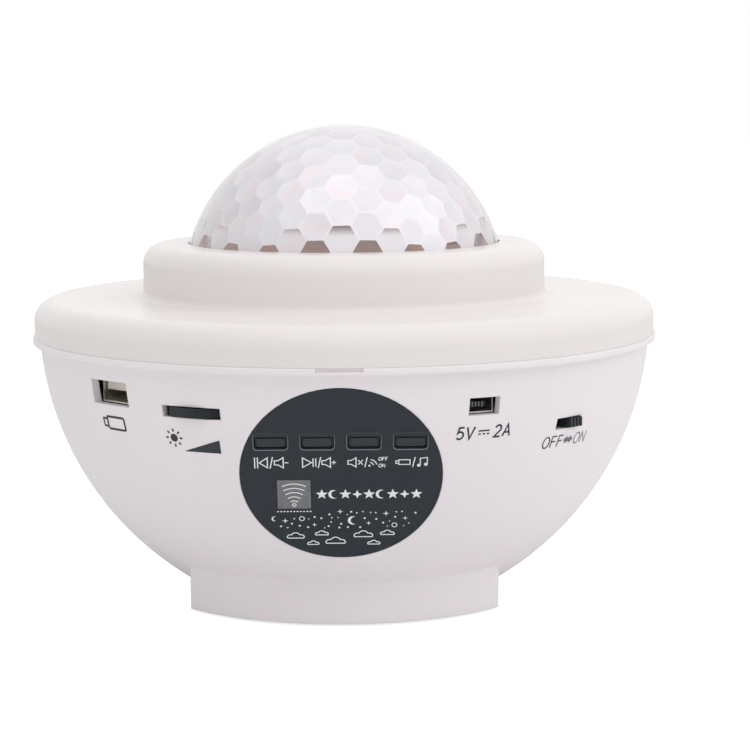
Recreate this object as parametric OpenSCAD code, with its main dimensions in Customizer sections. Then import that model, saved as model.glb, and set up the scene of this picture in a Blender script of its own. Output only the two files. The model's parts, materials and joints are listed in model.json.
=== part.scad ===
// Star night light projector: a bowl-shaped body on a flat foot, under a wide cover with a faceted
// clear dome. A geared ripple disc and a star grating turn over the lamps and throw moving light
// through a lens in the deck and then through the dome. A speaker fires down through the foot.
// The control panel faces -Y.
// All sizes are in millimetres. +Z is up and the surface the projector stands on is z = 0.

/* [Bowl and foot] */
// Radius of the bowl's outer sphere
bowl_r = 80.8; // [79:0.2:83]
// Height of the sphere's centre above the foot's lower edge
bowl_centre_h = 71.4; // [70.6:0.1:72.4]
// Wall of the bowl and of the top cover
shell_wall = 2.2; // [1.8:0.1:2.6]
// Height of the seam between bowl and cover above the foot's lower edge
seam_h = 67.4; // [66.4:0.2:69]
// How far the lip stands out of the bowl at the seam
lip_proud = 1.8; // [1.2:0.1:2.4]
// Height of the lip
lip_h = 1.9; // [1.4:0.1:2.6]
// Radius of the foot's round front and back
foot_r = 53.5; // [52:0.5:56]
// Distance of the foot's flat sides from the middle
foot_half_w = 39.2; // [38:0.2:42]
// How far the rubber pads hold the foot off the surface
pad_proud = 0.8; // [0.5:0.1:1.5]
// Radius of a rubber pad
pad_r = 4.5; // [3.5:0.1:5]
// Width of the pry notch in the seam
notch_w = 11; // [8:1:14]

/* [Top cover] */
// How far the cover's wall stands inside the lip
cover_step = 0.5; // [0.2:0.1:0.8]
// Height of the cover's shelf above the seam
shelf_rise = 9.6; // [8.6:0.2:11]
// Radius of the shelf's rounded edge
shelf_fillet = 5.5; // [4:0.5:7]
// Radius of the collar round the dome
collar_r = 53.3; // [52.9:0.1:56]
// Height of the collar above the shelf
collar_rise = 14; // [13:0.5:16]
// Radius of the collar's rounded top edge
collar_fillet = 5; // [3.5:0.5:6]
// Radius where the collar's wall meets the shelf
collar_root_fillet = 2; // [1:0.5:3]
// Depth of the skirt that locates the cover in the bowl
skirt_drop = 3.5; // [2.6:0.1:4.5]
// Wall of the skirt
skirt_wall = 1.6; // [1.2:0.1:2]
// Number of snap hooks on the skirt
hook_count = 6; // [4:1:8]

/* [Dome] */
// Outer radius of the dome
dome_r = 42.7; // [42:0.1:43.4]
// Depth of the dome's centre under the collar's top
dome_sink = 12; // [11:0.2:13]
// Wall of the dome at the middle of a facet
dome_wall = 1.8; // [1.5:0.1:2.1]
// Outer radius of the dome's flange
flange_r = 46.8; // [46:0.1:47]
// Thickness of the dome's flange
flange_t = 1.6; // [1.2:0.1:2]
// Steps of the facet net along one of its edges, a multiple of three
net_steps = 12; // [9:3:12]

/* [Light deck] */
// Radius of the deck's raised middle
deck_mid_r = 39.2; // [38.6:0.1:39.4]
// How far the deck's middle stands above the dome's flange
deck_mid_rise = 0.2; // [0:0.1:0.5]
// Thickness of the deck
deck_t = 2; // [1.6:0.1:2.4]
// Outer radius of the deck
deck_r = 50.6; // [50.5:0.05:50.8]
// Radius of the circle of deck screws
deck_screw_ring = 49; // [48.8:0.1:49.1]
// Wall of the ripple disc between its tooth roots and the tube that it turns on
hub_wall = 2.08; // [1.6:0.1:3]
// Wall of that tube
tube_wall = 2; // [1.5:0.1:2.2]
// Radius of the lens in the deck
lens_r = 12; // [10:0.5:15]
// How far the lens bulges above the deck
lens_bulge = 0.6; // [0.3:0.1:1]

/* [Ripple drive] */
// Gear module
gear_m = 0.8; // [0.78:0.01:0.82]
// Teeth of the ripple disc
disc_teeth = 60; // [60:1:60]
// Teeth of the drive pinion
pinion_teeth = 12; // [12:1:12]
// Teeth of the star grating's gear
grating_teeth = 15; // [15:1:15]
// Face width of the gears
gear_face = 2; // [1.6:0.1:2.4]
// Play between meshing teeth, measured along the pitch line
backlash = 0.24; // [0.2:0.02:0.32]
// Thickness of the ripple plate and of the grating
plate_t = 1.5; // [1:0.1:1.8]
// Radius of the motor's shaft
motor_shaft_r = 1.5; // [1.2:0.1:1.8]
// Radial running clearance of shafts and bores
running_gap = 0.05; // [0.03:0.01:0.08]
// Radius of the laser module
laser_r = 3; // [2.8:0.1:3.2]
// Length of the laser module
laser_len = 13; // [10:1:16]

/* [Lamp] */
// Radius of the lamp board
lamp_board_r = 13.5; // [12:0.5:14]
// Depth of the heat sink's upper face under the deck
sink_drop = 16.8; // [14:0.2:19]
// Radius of the heat sink
sink_r = 20.5; // [19:0.5:21]
// Thickness of the heat sink's plate
sink_t = 4; // [3:0.5:5]
// Height of the heat sink's fins
fin_h = 8; // [5:1:10]
// Number of fins
fin_count = 7; // [5:2:9]

/* [Control panel] */
// Radius of the round control panel
panel_r = 24.05; // [23.5:0.05:24.5]
// Tilt of the panel's face below the horizontal
panel_tilt = 23.6; // [22:0.2:25]
// Thickness of the panel
panel_t = 1.6; // [1.2:0.1:2]
// Width of the flat rim left round the panel
panel_rim = 0.55; // [0.4:0.05:0.8]
// Distance between neighbouring keys
key_pitch = 11; // [10.6:0.1:11.1]
// Height of the row of keys above the panel's centre
key_row = 9.4; // [8.8:0.1:9.6]
// Width of a key
key_w = 7.4; // [6.6:0.1:7.5]
// Height of a key
key_h = 3.9; // [3.6:0.1:4.4]
// Radius of a key's corners
key_corner = 0.6; // [0.3:0.1:1]
// How far a key's face lies behind the panel's face
key_sunk = 0.7; // [0.3:0.1:1]
// Travel of a key
key_travel = 0.4; // [0.3:0.05:0.5]
// Width of the infrared window
ir_w = 8.2; // [7.6:0.1:8.6]
// Height of the infrared window
ir_h = 8.4; // [7.8:0.1:8.8]
// Sideways place of the infrared window
ir_x = -11.3; // [-11.8:0.1:-10.8]
// Place of the infrared window up the panel
ir_y = -5.6; // [-6:0.1:-5.2]
// Depth of the key board's face behind the panel's face
key_board_drop = 10; // [9.6:0.1:11]

/* [Sockets and controls] */
// Azimuth of the USB-A socket
usb_az = -45; // [-47:0.5:-43]
// Height of the USB-A socket's middle above the foot's lower edge
usb_h = 58.5; // [58:0.1:59]
// Azimuth of the power socket
dc_az = 25.3; // [24:0.1:27]
// Height of the power socket's middle above the foot's lower edge
dc_h = 57; // [56.6:0.1:57.6]
// Azimuth of the brightness wheel
wheel_az = -26.6; // [-27.4:0.1:-26.2]
// Radius of the brightness wheel
wheel_r = 9.6; // [9:0.1:9.7]
// Thickness of the brightness wheel
wheel_t = 2.2; // [1.8:0.1:2.4]
// How far the wheel stands out of the bowl
wheel_proud = 1.3; // [0.8:0.1:1.5]
// Number of grips round the wheel
wheel_grips = 110; // [90:2:120]
// Depth of a grip
grip_depth = 0.25; // [0.15:0.05:0.3]
// Width of the wheel's slot
wheel_slot_w = 15.9; // [15.7:0.1:16.5]
// Azimuth of the slide switch
switch_az = 45; // [43:0.5:47]
// Height of the slide switch's middle above the foot's lower edge
switch_h = 50.4; // [50.2:0.1:50.6]
// Width of the slide switch's knob
knob_w = 4.2; // [3.8:0.1:4.4]
// Travel of the slide switch
knob_travel = 4; // [3.8:0.1:4.3]

/* [Boards] */
// Height of the main board's underside above the foot's lower edge
board_h = 52; // [51.8:0.1:52.2]
// Thickness of the main board and the key board
board_t = 1.6; // [1.2:0.1:1.6]
// Room between the main board's edge and the bowl's wall
board_gap = 3.17; // [2.6:0.1:4.5]
// Radius of the holes that take self-tapping screws
pilot_r = 1; // [0.8:0.1:1.2]
// Radius of the posts that take them
post_r = 3; // [2.6:0.1:3.4]

/* [Speaker and bottom] */
// Thickness of the bottom cover
bottom_t = 2.2; // [1.8:0.1:2.6]
// How far the bottom cover sits up inside the foot
bottom_recess = 0.5; // [0.3:0.1:0.8]
// Clearance round the bottom cover
bottom_gap = 0.25; // [0.15:0.05:0.4]
// Radius of the speaker
speaker_r = 20; // [19:0.5:21]
// Height of the speaker's frame above its flange
speaker_h = 9; // [7:0.5:11]
// Radius of the speaker's magnet
magnet_r = 12; // [10:0.5:13]
// Height of the speaker's magnet
magnet_h = 8; // [6:0.5:10]
// Radius of a grille hole
grille_hole_r = 1; // [0.7:0.1:1.2]
// Rings of grille holes round the middle one
grille_rings = 4; // [3:1:5]
// Distance between grille rings
grille_pitch = 3.6; // [3.2:0.1:3.8]

/* [Hidden] */
$fn = 96;
eps = 0.01;
arc_steps = 10;
seat_gap = 0.1;
body_gap = 0.3;

// Heights in the part's frame
base_z = pad_proud;
bowl_z = base_z + bowl_centre_h;
seam_z = base_z + seam_h;
shelf_z = seam_z + shelf_rise;
collar_z = shelf_z + collar_rise;
dome_z = collar_z - dome_sink;
board_z = base_z + board_h;
board_top = board_z + board_t;

// Radius of the bowl's outer and inner faces at a height z
function bowl_out(z) = sqrt(bowl_r * bowl_r - (z - bowl_z) * (z - bowl_z));
function bowl_in(z) = sqrt(pow(bowl_r - shell_wall, 2) - (z - bowl_z) * (z - bowl_z));
// Height of the bowl's outer and inner faces at a distance r from the axis
function outside_z(r) = bowl_z - sqrt(bowl_r * bowl_r - r * r);
function inside_z(r) = bowl_z - sqrt(pow(bowl_r - shell_wall, 2) - r * r);
// Distance from the axis at which a flat face of half width w, with its lower edge at z, clears the wall
function behind_wall(z, w) = sqrt(pow(bowl_in(z), 2) - w * w) - body_gap;

// Points of an arc from angle a0 to a1
function arc(x, y, r, a0, a1, n = arc_steps) =
    [for (i = [0:n]) let (a = a0 + (a1 - a0) * i / n) [x + r * cos(a), y + r * sin(a)]];

lip_r = bowl_out(seam_z) + lip_proud;
cover_r = lip_r - cover_step;
collar_under = collar_z - shell_wall;
flange_z = collar_under - flange_t;
dome_in_r = dome_r - dome_wall;
// Radius of the dome's hole at a height z: it follows the dome
function dome_hole_r(z) = sqrt(dome_r * dome_r - pow(z - dome_z, 2)) + body_gap;
skirt_r = bowl_in(seam_z - skirt_drop) - bottom_gap;
hook_z = seam_z - skirt_drop;
hook_h = 1.2;
hook_proud = 0.55;

// The bottom cover and what stands on it
bottom_z = base_z + bottom_recess;
bottom_top = bottom_z + bottom_t;
bottom_screw_x = foot_half_w - 8;
bottom_screw_y = 33;
pad_x = 19;
pad_y = 41;
pad_recess = 0.5;
gasket_t = 0.8;
speaker_z = bottom_top + gasket_t;
speaker_rim_t = 1.2;
speaker_ring_wall = 1.7;
speaker_ring_h = 2.5;
bottom_screw_len = 6.5;
bottom_boss_ring = norm([bottom_screw_x, bottom_screw_y]);
boss_top = inside_z(bottom_boss_ring) + 2;
speaker_room = 4;
screw_r = pilot_r - running_gap;
head_r = 1.9;
head_h = 1.3;
head_web = 1;

// The control panel's plane, as a distance from the bowl's centre
land_r = panel_r + panel_rim;
panel_d = sqrt(bowl_r * bowl_r - land_r * land_r);
panel_back = panel_d - panel_t;
seat_floor_t = 2;
seat_back = panel_back - seat_floor_t;
key_board_t = board_t - 0.4;
key_board_d = panel_d - key_board_drop;
key_gap = 0.15;
flange_key_t = 0.8;
flange_key_h = key_h + 1.6;
key_board_half_w = 1.5 * key_pitch + 4;
key_board_top = key_row + 3.6;
key_board_low = -11;
key_post_x = 17.4;
key_post_y = -7.4;
key_post_r = 2.1;
tact_w = 6;
tact_h = 3.5;
tact_well_r = 1.8;
plunger_r = tact_well_r - seat_gap;
plunger_len = 2;
plunger_out = 0.8;
// The plunger can sink by the key's travel before it touches the well's floor
tact_well = plunger_len - plunger_out + key_travel + 0.2;
stem_r = 1.5;

// The brightness wheel
wheel_base_t = 0.8;
wheel_base_w = 13;
wheel_z = board_top + wheel_base_t + 0.2;
wheel_mid_z = wheel_z + wheel_t / 2;
wheel_pos = bowl_out(wheel_mid_z) + wheel_proud - wheel_r;
wheel_slot_h = wheel_t + 0.6;
spindle_r = 1.5;

// The ports and the slide switch
usb_shell = [13.1, 14, 5.7];
dc_shell = [7.7, 9, 3.95];
port_play = 0.3;
sheet_t = 0.35;
knob_play = 0.25;
switch_z = base_z + switch_h;
switch_slot_w = knob_w + knob_travel + 2 * knob_play;
switch_case_h = 2 * (board_z - switch_z);
switch_case = [switch_slot_w + 1.4, 5, switch_case_h];
switch_slot_h = 2.8;
knob_h = switch_slot_h - 0.5;
knob_proud = 0.9;
switch_face = behind_wall(switch_z - switch_case_h / 2, switch_case[0] / 2);
knob_rest = knob_travel / 2;

// The main board, its posts and what stands on it. The key board passes through a notch in its front
board_r = bowl_in(board_z) - board_gap;
outer_post_y = -21;
outer_post_x = sqrt(pow(board_r - 9.43, 2) - outer_post_y * outer_post_y);
post_places = [[outer_post_x, outer_post_y], [-outer_post_x, outer_post_y], [28, -30], [-28, -30]];
board_back_y = -8;
key_back_room = 3;
board_notch_y = -key_back_y(board_z) + key_back_room / cos(panel_tilt);
chips = [[-6, -30, 10, 10, 1.2], [14, -36, 6, 5, 1.5], [44, -34, 5, 4, 1.5]];
capacitor_places = [[-42, -24], [38, -48], [46, -22]];
capacitor_r = 3.15;
capacitor_h = 7;
screw_bite = 6;

// How far in front of the axis the key board's back lies at a height z
function key_back_y(z) =
    (key_board_d - key_board_t + (z - bowl_z) * sin(panel_tilt)) / cos(panel_tilt);

// The light deck and the gear train that hangs under it
deck_mid_z = collar_under + deck_mid_rise;
deck_mid_under = deck_mid_z - deck_t;
deck_rim_under = flange_z - deck_t;
gear_tip = 0.9 * gear_m;
gear_root = 1.15 * gear_m;
tube_out_r = disc_teeth * gear_m / 2 - gear_root - hub_wall;
tube_r = tube_out_r - tube_wall;
shoulder_h = 0.8;
shoulder_w = 1.6;
end_play = 0.2;
gear_z = deck_mid_under - shoulder_h - end_play - gear_face;
tube_low = gear_z - 0.5;
plate_z = tube_low - end_play - plate_t;
pinion_x = -(disc_teeth + pinion_teeth) * gear_m / 2 - 0.05;
grating_x = (disc_teeth + grating_teeth) * gear_m / 2 + 0.05;
nozzle_r = 2;
nozzle_out_r = 3;
hanger_r = 2.5;
ledge_w = 1;
lens_t = 1;

// The motor and the laser hang on posts of the deck
gearbox = [11, 10, 9];
motor_len = 15;
shaft_sunk = 5.5;
shaft_top = gear_z + gear_face + 0.4;
motor_top = gear_z - 0.6;
motor_z = motor_top - gearbox[2];
motor_flange_t = 1.2;
motor_ear_y = 9;
bracket_top = plate_z - 0.25;
bracket_t = 1.5;
bracket_ear_y = 10.5;
laser_socket_wall = 1.4;
laser_socket_drop = 7;
laser_top = bracket_top - bracket_t;

// The leads inside
lead_w = 2.2;
lead_t = 1.1;
lead_end_y = 10.5;
lead_gap = 0.3;
speaker_lead_az = 220;
lamp_lead_az = 236;
ribbon_w = 9;
ribbon_t = 0.5;
ribbon_z = board_top + 1.6;

// The lamp
sink_z = deck_mid_under - sink_drop;
lamp_board_t = 1.6;
lamp_top = sink_z + lamp_board_t;
lug_post_r = 2.5;
lug_y = disc_teeth * gear_m / 2 + gear_tip + lug_post_r + 1.3;
lug_r = 3.8;
reflector_t = 1;
reflector_top = plate_z - end_play;
lamp_chip = 3;

module at_azimuth(az) rotate([0, 0, az]) children();

// The panel's own frame: +Z points out of its face and +Y up it, from the bowl's centre
module at_panel() translate([0, 0, bowl_z]) rotate([90 + panel_tilt, 0, 0]) children();

module each_key() for (i = [0:3]) translate([(i - 1.5) * key_pitch, key_row, 0]) children();

module ball(r) translate([0, 0, bowl_z]) sphere(r = r);

module disc_at(x, y, z, r, h) translate([x, y, z]) cylinder(r = r, h = h);

module ring_at(z, r_out, r_in, h) translate([0, 0, z]) difference() {
    cylinder(r = r_out, h = h);
    translate([0, 0, -1]) cylinder(r = r_in, h = h + 2);
}

module centred(size, z) translate([-size[0] / 2, -size[1] / 2, z]) cube(size);

module rounded(w, h, r) {
    square([w - 2 * r, h], center = true);
    square([w, h - 2 * r], center = true);
    for (x = [-1, 1], y = [-1, 1]) translate([x * (w / 2 - r), y * (h / 2 - r)]) circle(r = r);
}

// Outline of the foot, with its walls moved in by inset
module foot_outline(inset) intersection() {
    circle(r = foot_r - inset);
    square([2 * (foot_half_w - inset), 3 * foot_r], center = true);
}

module each_bottom_screw()
    for (x = [-1, 1], y = [-1, 1]) translate([x * bottom_screw_x, y * bottom_screw_y, 0]) children();

module each_foot_pad()
    for (x = [-1, 1], y = [-1, 1]) translate([x * pad_x, y * pad_y, 0]) children();

module each_board_post() for (p = post_places) translate([p[0], p[1], 0]) children();

module each_deck_screw()
    for (a = [45:90:315]) rotate([0, 0, a]) translate([deck_screw_ring, 0, 0]) children();

module each_key_post() for (x = [-1, 1]) translate([x * key_post_x, key_post_y, 0]) children();

// A pan head screw with its head's seat at z = 0 and its shank pointing up
module screw(length) {
    translate([0, 0, -head_h]) difference() {
        cylinder(r = head_r, h = head_h);
        for (a = [0, 90]) rotate([0, 0, a]) translate([-1.1, -0.25, -eps]) cube([2.2, 0.5, 0.7]);
    }
    translate([0, 0, -eps]) cylinder(r = screw_r, h = length);
}

// A socket's opening in the bowl's wall
module port_opening(az, z, shell) at_azimuth(az)
    translate([0, -bowl_r, z])
        cube([shell[0] + port_play, 3 * shell[1], shell[2] + port_play], center = true);

// ---------------------------------------------------------------- bowl

module bowl_blank() {
    intersection() {
        ball(bowl_r);
        disc_at(0, 0, base_z, bowl_r + 1, seam_h);
    }
    // The lip is a flat band with a rounded lower edge
    rotate_extrude() polygon(concat(
        [[bowl_out(seam_z) - 1, seam_z], [bowl_out(seam_z) - 1, seam_z - lip_h]],
        arc(lip_r - 0.7, seam_z - lip_h + 0.7, 0.7, 270, 360, 4),
        arc(lip_r - 0.3, seam_z - 0.3, 0.3, 0, 90, 3)));
    translate([0, 0, base_z]) linear_extrude(foot_join_h()) difference() {
        foot_outline(0);
        foot_outline(shell_wall);
    }
}

// Height at which the foot's walls end inside the bowl's wall
function foot_join_h() = bowl_centre_h - sqrt(bowl_r * bowl_r - foot_r * foot_r) + 0.6;

// The flat land and the pocket that hold the control panel
module panel_seat() intersection() {
    ball(bowl_r);
    at_panel() translate([0, 0, seat_back]) cylinder(r = panel_r + 2.6, h = panel_t + seat_floor_t + 6);
}

module panel_cuts() at_panel() {
    translate([0, 0, panel_d]) cylinder(r = land_r + 3, h = 10);
    translate([0, 0, panel_back]) cylinder(r = panel_r + seat_gap, h = 10);
    translate([0, key_row, seat_back])
        cube([3 * key_pitch + key_w + 1, flange_key_h + 1, 9], center = true);
    translate([ir_x, ir_y, seat_back]) cube([ir_w + 2, ir_h + 2, 9], center = true);
}

module bowl_housing() color("whitesmoke") difference() {
    union() {
        difference() {
            bowl_blank();
            ball(bowl_r - shell_wall);
            translate([0, 0, base_z - 1])
                linear_extrude(bottom_top - base_z + 1 + seat_gap) foot_outline(shell_wall);
            // The bowl's floor is open over the speaker
            disc_at(0, 0, base_z - 1, speaker_r + speaker_room, bowl_centre_h);
        }
        panel_seat();
        intersection() {
            ball(bowl_r - shell_wall / 2);
            union() {
                each_board_post()
                    disc_at(0, 0, bottom_top + seat_gap, post_r, board_z - bottom_top - seat_gap);
                each_bottom_screw() disc_at(0, 0, bottom_top, post_r, boss_top - bottom_top);
            }
        }
        each_bottom_screw()
            disc_at(0, 0, bottom_top, post_r, outside_z(bottom_boss_ring + post_r) - bottom_top);
        at_panel() each_key_post() disc_at(0, 0, key_board_d, key_post_r, seat_back - key_board_d + 0.5);
    }
    panel_cuts();
    // The cover's skirt passes behind the panel's pocket
    ring_at(hook_z - seat_gap, skirt_r + seat_gap, 70, skirt_drop + 1);
    // A groove takes the cover's snap hooks
    ring_at(hook_z - seat_gap, bowl_in(hook_z) + hook_proud, 60, hook_h + 2 * seat_gap);
    translate([-notch_w / 2, -lip_r - 1, seam_z - 0.8]) cube([notch_w, 2, 2]);
    port_opening(usb_az, base_z + usb_h, usb_shell);
    port_opening(dc_az, base_z + dc_h, dc_shell);
    at_azimuth(wheel_az) translate([0, -bowl_r, wheel_mid_z])
        cube([wheel_slot_w, 20, wheel_slot_h], center = true);
    at_azimuth(switch_az) translate([0, -bowl_r, switch_z])
        cube([switch_slot_w, 20, switch_slot_h], center = true);
    each_board_post() disc_at(0, 0, board_z - 9, pilot_r, 10);
    each_bottom_screw() disc_at(0, 0, bottom_top - 1, pilot_r, bottom_screw_len + 0.5);
    at_panel() each_key_post() disc_at(0, 0, key_board_d - 1, pilot_r - 0.2, 6);
}

// ---------------------------------------------------------------- top cover

// Section of the cover: wall, rounded shelf edge, collar and its rounded top
function cover_section() = concat(
    [[cover_r, seam_z]],
    arc(cover_r - shelf_fillet, shelf_z - shelf_fillet, shelf_fillet, 0, 90),
    arc(collar_r + collar_root_fillet, shelf_z + collar_root_fillet, collar_root_fillet, 270, 180),
    arc(collar_r - collar_fillet, collar_z - collar_fillet, collar_fillet, 0, 90),
    [[dome_hole_r(collar_z), collar_z], [dome_hole_r(collar_under), collar_under]],
    arc(collar_r - collar_fillet, collar_z - collar_fillet, collar_fillet - shell_wall, 90, 0),
    [[collar_r - shell_wall, shelf_z - shell_wall]],
    arc(cover_r - shelf_fillet, shelf_z - shelf_fillet, shelf_fillet - shell_wall, 90, 0),
    [[cover_r - shell_wall, seam_z]]);

module top_cover() color("white") difference() {
    union() {
        rotate_extrude() polygon(cover_section());
        ring_at(hook_z, skirt_r, skirt_r - skirt_wall, shelf_z - shell_wall - hook_z + eps);
        for (i = [0:hook_count - 1]) rotate([0, 0, (i + 0.5) * 360 / hook_count]) intersection() {
            rotate_extrude() polygon([
                [skirt_r - 0.5, hook_z + 0.2], [skirt_r + 0.1, hook_z + 0.2],
                [skirt_r + hook_proud, hook_z + hook_h / 2], [skirt_r + hook_proud, hook_z + hook_h],
                [skirt_r - 0.5, hook_z + hook_h]]);
            translate([skirt_r, 0, hook_z]) cube([10, 12, 10], center = true);
        }
        // Bosses for the deck screws stand against the collar's wall
        each_deck_screw() disc_at(0, 0, flange_z, 1.9, flange_t + eps);
    }
    each_deck_screw() disc_at(0, 0, flange_z - 1, pilot_r - 0.2, flange_t + 1.6);
}

// ---------------------------------------------------------------- faceted dome

// The facets' centres are points of a triangular net laid on the faces of an icosahedron
ico_lat = atan(0.5);
function on_sphere(lat, az) = [cos(lat) * sin(az), -cos(lat) * cos(az), sin(lat)];
function unit(v) = v / norm(v);
function upper(k) = on_sphere(ico_lat, 36 + 72 * k);
function lower(k) = on_sphere(-ico_lat, 72 * k);
ico_faces = [for (k = [0:4]) each [
    [[0, 0, 1], upper(k), upper(k + 1)],
    [upper(k), upper(k + 1), lower(k + 1)],
    [lower(k), lower(k + 1), upper(k)]]];

function net_point(face, i, j) =
    unit(i * face[0] + j * face[1] + (net_steps - i - j) * face[2]);

// Every third point of the net is a facet's centre. Three facets meet at each of the others
function rounded_off(v) = [for (c = v) round(c * 1e5) / 1e5];
facet_reach = 63.43 / net_steps * 1.15;
corner_r = dome_in_r / cos(facet_reach);
corner_low = 5;
corners = [for (face = ico_faces) for (i = [0:net_steps]) for (j = [0:net_steps - i])
    if ((i - j) % 3 != 0) let (c = net_point(face, i, j))
        if (asin(c[2]) > corner_low) rounded_off(c * corner_r)];

// The dome's inside is a net of flat facets, each as far from its centre as the wall asks
module dome_hollow() translate([0, 0, dome_z]) hull()
    polyhedron(points = corners, faces = [for (i = [0:3:len(corners) - 3]) [i, i + 1, i + 2]]);

module crystal_dome() color("lavender", 0.6) difference() {
    union() {
        intersection() {
            translate([0, 0, dome_z]) rotate([90, 0, 0]) sphere(r = dome_r, $fn = 300);
            disc_at(0, 0, flange_z, dome_r + 1, dome_r);
        }
        disc_at(0, 0, flange_z, flange_r, flange_t);
    }
    dome_hollow();
}

// ---------------------------------------------------------------- light deck and gear train

// Outline of a spur gear with straight flanks, one tooth centred on the +X axis
function gear_outline(teeth) = let (
    rp = teeth * gear_m / 2,
    tip = rp + gear_tip,
    root = rp - gear_root,
    half = (PI * gear_m / 4 - backlash / 4) / rp * 180 / PI,
    tip_half = half - 0.34 * gear_m / tip * 180 / PI,
    root_half = half + 0.26 * gear_m / root * 180 / PI)
    [for (i = [0:teeth - 1]) let (a = i * 360 / teeth) each [
        [root * cos(a - root_half), root * sin(a - root_half)],
        [rp * cos(a - half), rp * sin(a - half)],
        [tip * cos(a - tip_half), tip * sin(a - tip_half)],
        [tip * cos(a + tip_half), tip * sin(a + tip_half)],
        [rp * cos(a + half), rp * sin(a + half)],
        [root * cos(a + root_half), root * sin(a + root_half)]]];

// A gear that turns on a tube of radius tube and carries a clear plate under it
module geared_plate(teeth, tube) {
    translate([0, 0, gear_z]) difference() {
        linear_extrude(gear_face) polygon(gear_outline(teeth));
        disc_at(0, 0, -1, tube + running_gap, gear_face + 2);
    }
    rim_r = teeth * gear_m / 2 - gear_root - 0.2;
    ring_at(plate_z + plate_t - eps, rim_r, tube + running_gap, gear_z - plate_z - plate_t + 2 * eps);
    disc_at(0, 0, plate_z, rim_r, plate_t);
}

module ripple_disc() color("aliceblue", 0.7) geared_plate(disc_teeth, tube_out_r);

module star_grating() color("honeydew", 0.8)
    translate([grating_x, 0, 0]) geared_plate(grating_teeth, nozzle_out_r);

module drive_pinion() color("ivory") translate([pinion_x, 0, gear_z - 0.3]) difference() {
    rotate([0, 0, 180 / pinion_teeth]) linear_extrude(gear_face + 0.6) polygon(gear_outline(pinion_teeth));
    disc_at(0, 0, -1, motor_shaft_r, gear_face + 3);
}

module motor_shaft() color("silver")
    disc_at(pinion_x, 0, motor_top - shaft_sunk, motor_shaft_r, shaft_top - motor_top + shaft_sunk);

// A plate with an ear at each end, which two screws hold to posts of the deck
module eared_plate(z, w, ear_y, thick) translate([0, 0, z]) linear_extrude(thick) difference() {
    union() {
        square([w, 2 * ear_y], center = true);
        for (y = [-1, 1]) translate([0, y * ear_y]) circle(r = w / 2);
    }
    for (y = [-1, 1]) translate([0, y * ear_y]) circle(r = pilot_r + 0.1);
}

module drive_motor() color("dimgray") translate([pinion_x, 0, 0]) difference() {
    union() {
        centred(gearbox, motor_z);
        eared_plate(motor_top - motor_flange_t, 6.4, motor_ear_y, motor_flange_t);
        intersection() {
            disc_at(0, 0, motor_z - motor_len, gearbox[0] / 2, motor_len + eps);
            centred([gearbox[0] + 1, gearbox[1], motor_len + 1], motor_z - motor_len - 0.5);
        }
        disc_at(0, 0, motor_z - motor_len - 1, 2, 1 + eps);
    }
    disc_at(0, 0, motor_top - shaft_sunk - seat_gap, motor_shaft_r + running_gap, shaft_sunk + 1);
}

module laser_bracket() color("black") translate([grating_x, 0, 0]) difference() {
    union() {
        eared_plate(laser_top, 7, bracket_ear_y, bracket_t);
        disc_at(0, 0, laser_top, laser_r + laser_socket_wall, bracket_t);
        disc_at(0, 0, laser_top - laser_socket_drop, laser_r + laser_socket_wall, laser_socket_drop + eps);
    }
    disc_at(0, 0, laser_top - 1, nozzle_r, bracket_t + 2);
    disc_at(0, 0, laser_top - laser_socket_drop - 1, laser_r + running_gap, laser_socket_drop + 1);
}

module laser_module() color("goldenrod") translate([grating_x, 0, 0]) difference() {
    disc_at(0, 0, laser_top - laser_len, laser_r, laser_len);
    disc_at(0, 0, laser_top - 1.5, 1.2, 2);
}

module drive_screws() color("silver") for (y = [-1, 1]) {
    translate([pinion_x, y * motor_ear_y, motor_top - motor_flange_t]) screw(5);
    translate([grating_x, y * bracket_ear_y, laser_top]) screw(6);
}

module light_deck() color("rosybrown") difference() {
    union() {
        rotate_extrude() polygon([
            [lens_r - ledge_w, deck_mid_under], [tube_r, deck_mid_under],
            [tube_r, tube_low], [tube_out_r, tube_low], [tube_out_r, deck_mid_under - shoulder_h],
            [tube_out_r + shoulder_w, deck_mid_under - shoulder_h],
            [tube_out_r + shoulder_w, deck_mid_under],
            [deck_mid_r - deck_t, deck_mid_under], [deck_mid_r - deck_t, deck_rim_under],
            [deck_r, deck_rim_under], [deck_r, flange_z], [deck_mid_r, flange_z],
            [deck_mid_r, deck_mid_z - 0.4], [deck_mid_r - 0.4, deck_mid_z],
            [lens_r, deck_mid_z], [lens_r, deck_mid_z - lens_t], [lens_r - ledge_w, deck_mid_z - lens_t]]);
        translate([grating_x, 0, 0]) {
            disc_at(0, 0, tube_low, nozzle_out_r, deck_mid_under - tube_low + eps);
            disc_at(0, 0, deck_mid_under - shoulder_h, nozzle_out_r + 0.8, shoulder_h + eps);
        }
        for (y = [-1, 1]) {
            disc_at(0, y * lug_y, sink_z, lug_post_r, sink_drop + eps);
            disc_at(pinion_x, y * motor_ear_y, motor_top, hanger_r, deck_mid_under - motor_top + eps);
            disc_at(grating_x, y * bracket_ear_y, bracket_top, hanger_r,
                deck_mid_under - bracket_top + eps);
        }
    }
    disc_at(grating_x, 0, tube_low - 1, nozzle_r, 20);
    for (y = [-1, 1]) {
        disc_at(0, y * lug_y, sink_z - 1, pilot_r, 9);
        disc_at(pinion_x, y * motor_ear_y, motor_top - 1, pilot_r, 5.5);
        disc_at(grating_x, y * bracket_ear_y, bracket_top - 1, pilot_r, 6);
    }
    each_deck_screw() disc_at(0, 0, deck_rim_under - 1, pilot_r + 0.1, deck_t + 2);
}

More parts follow.
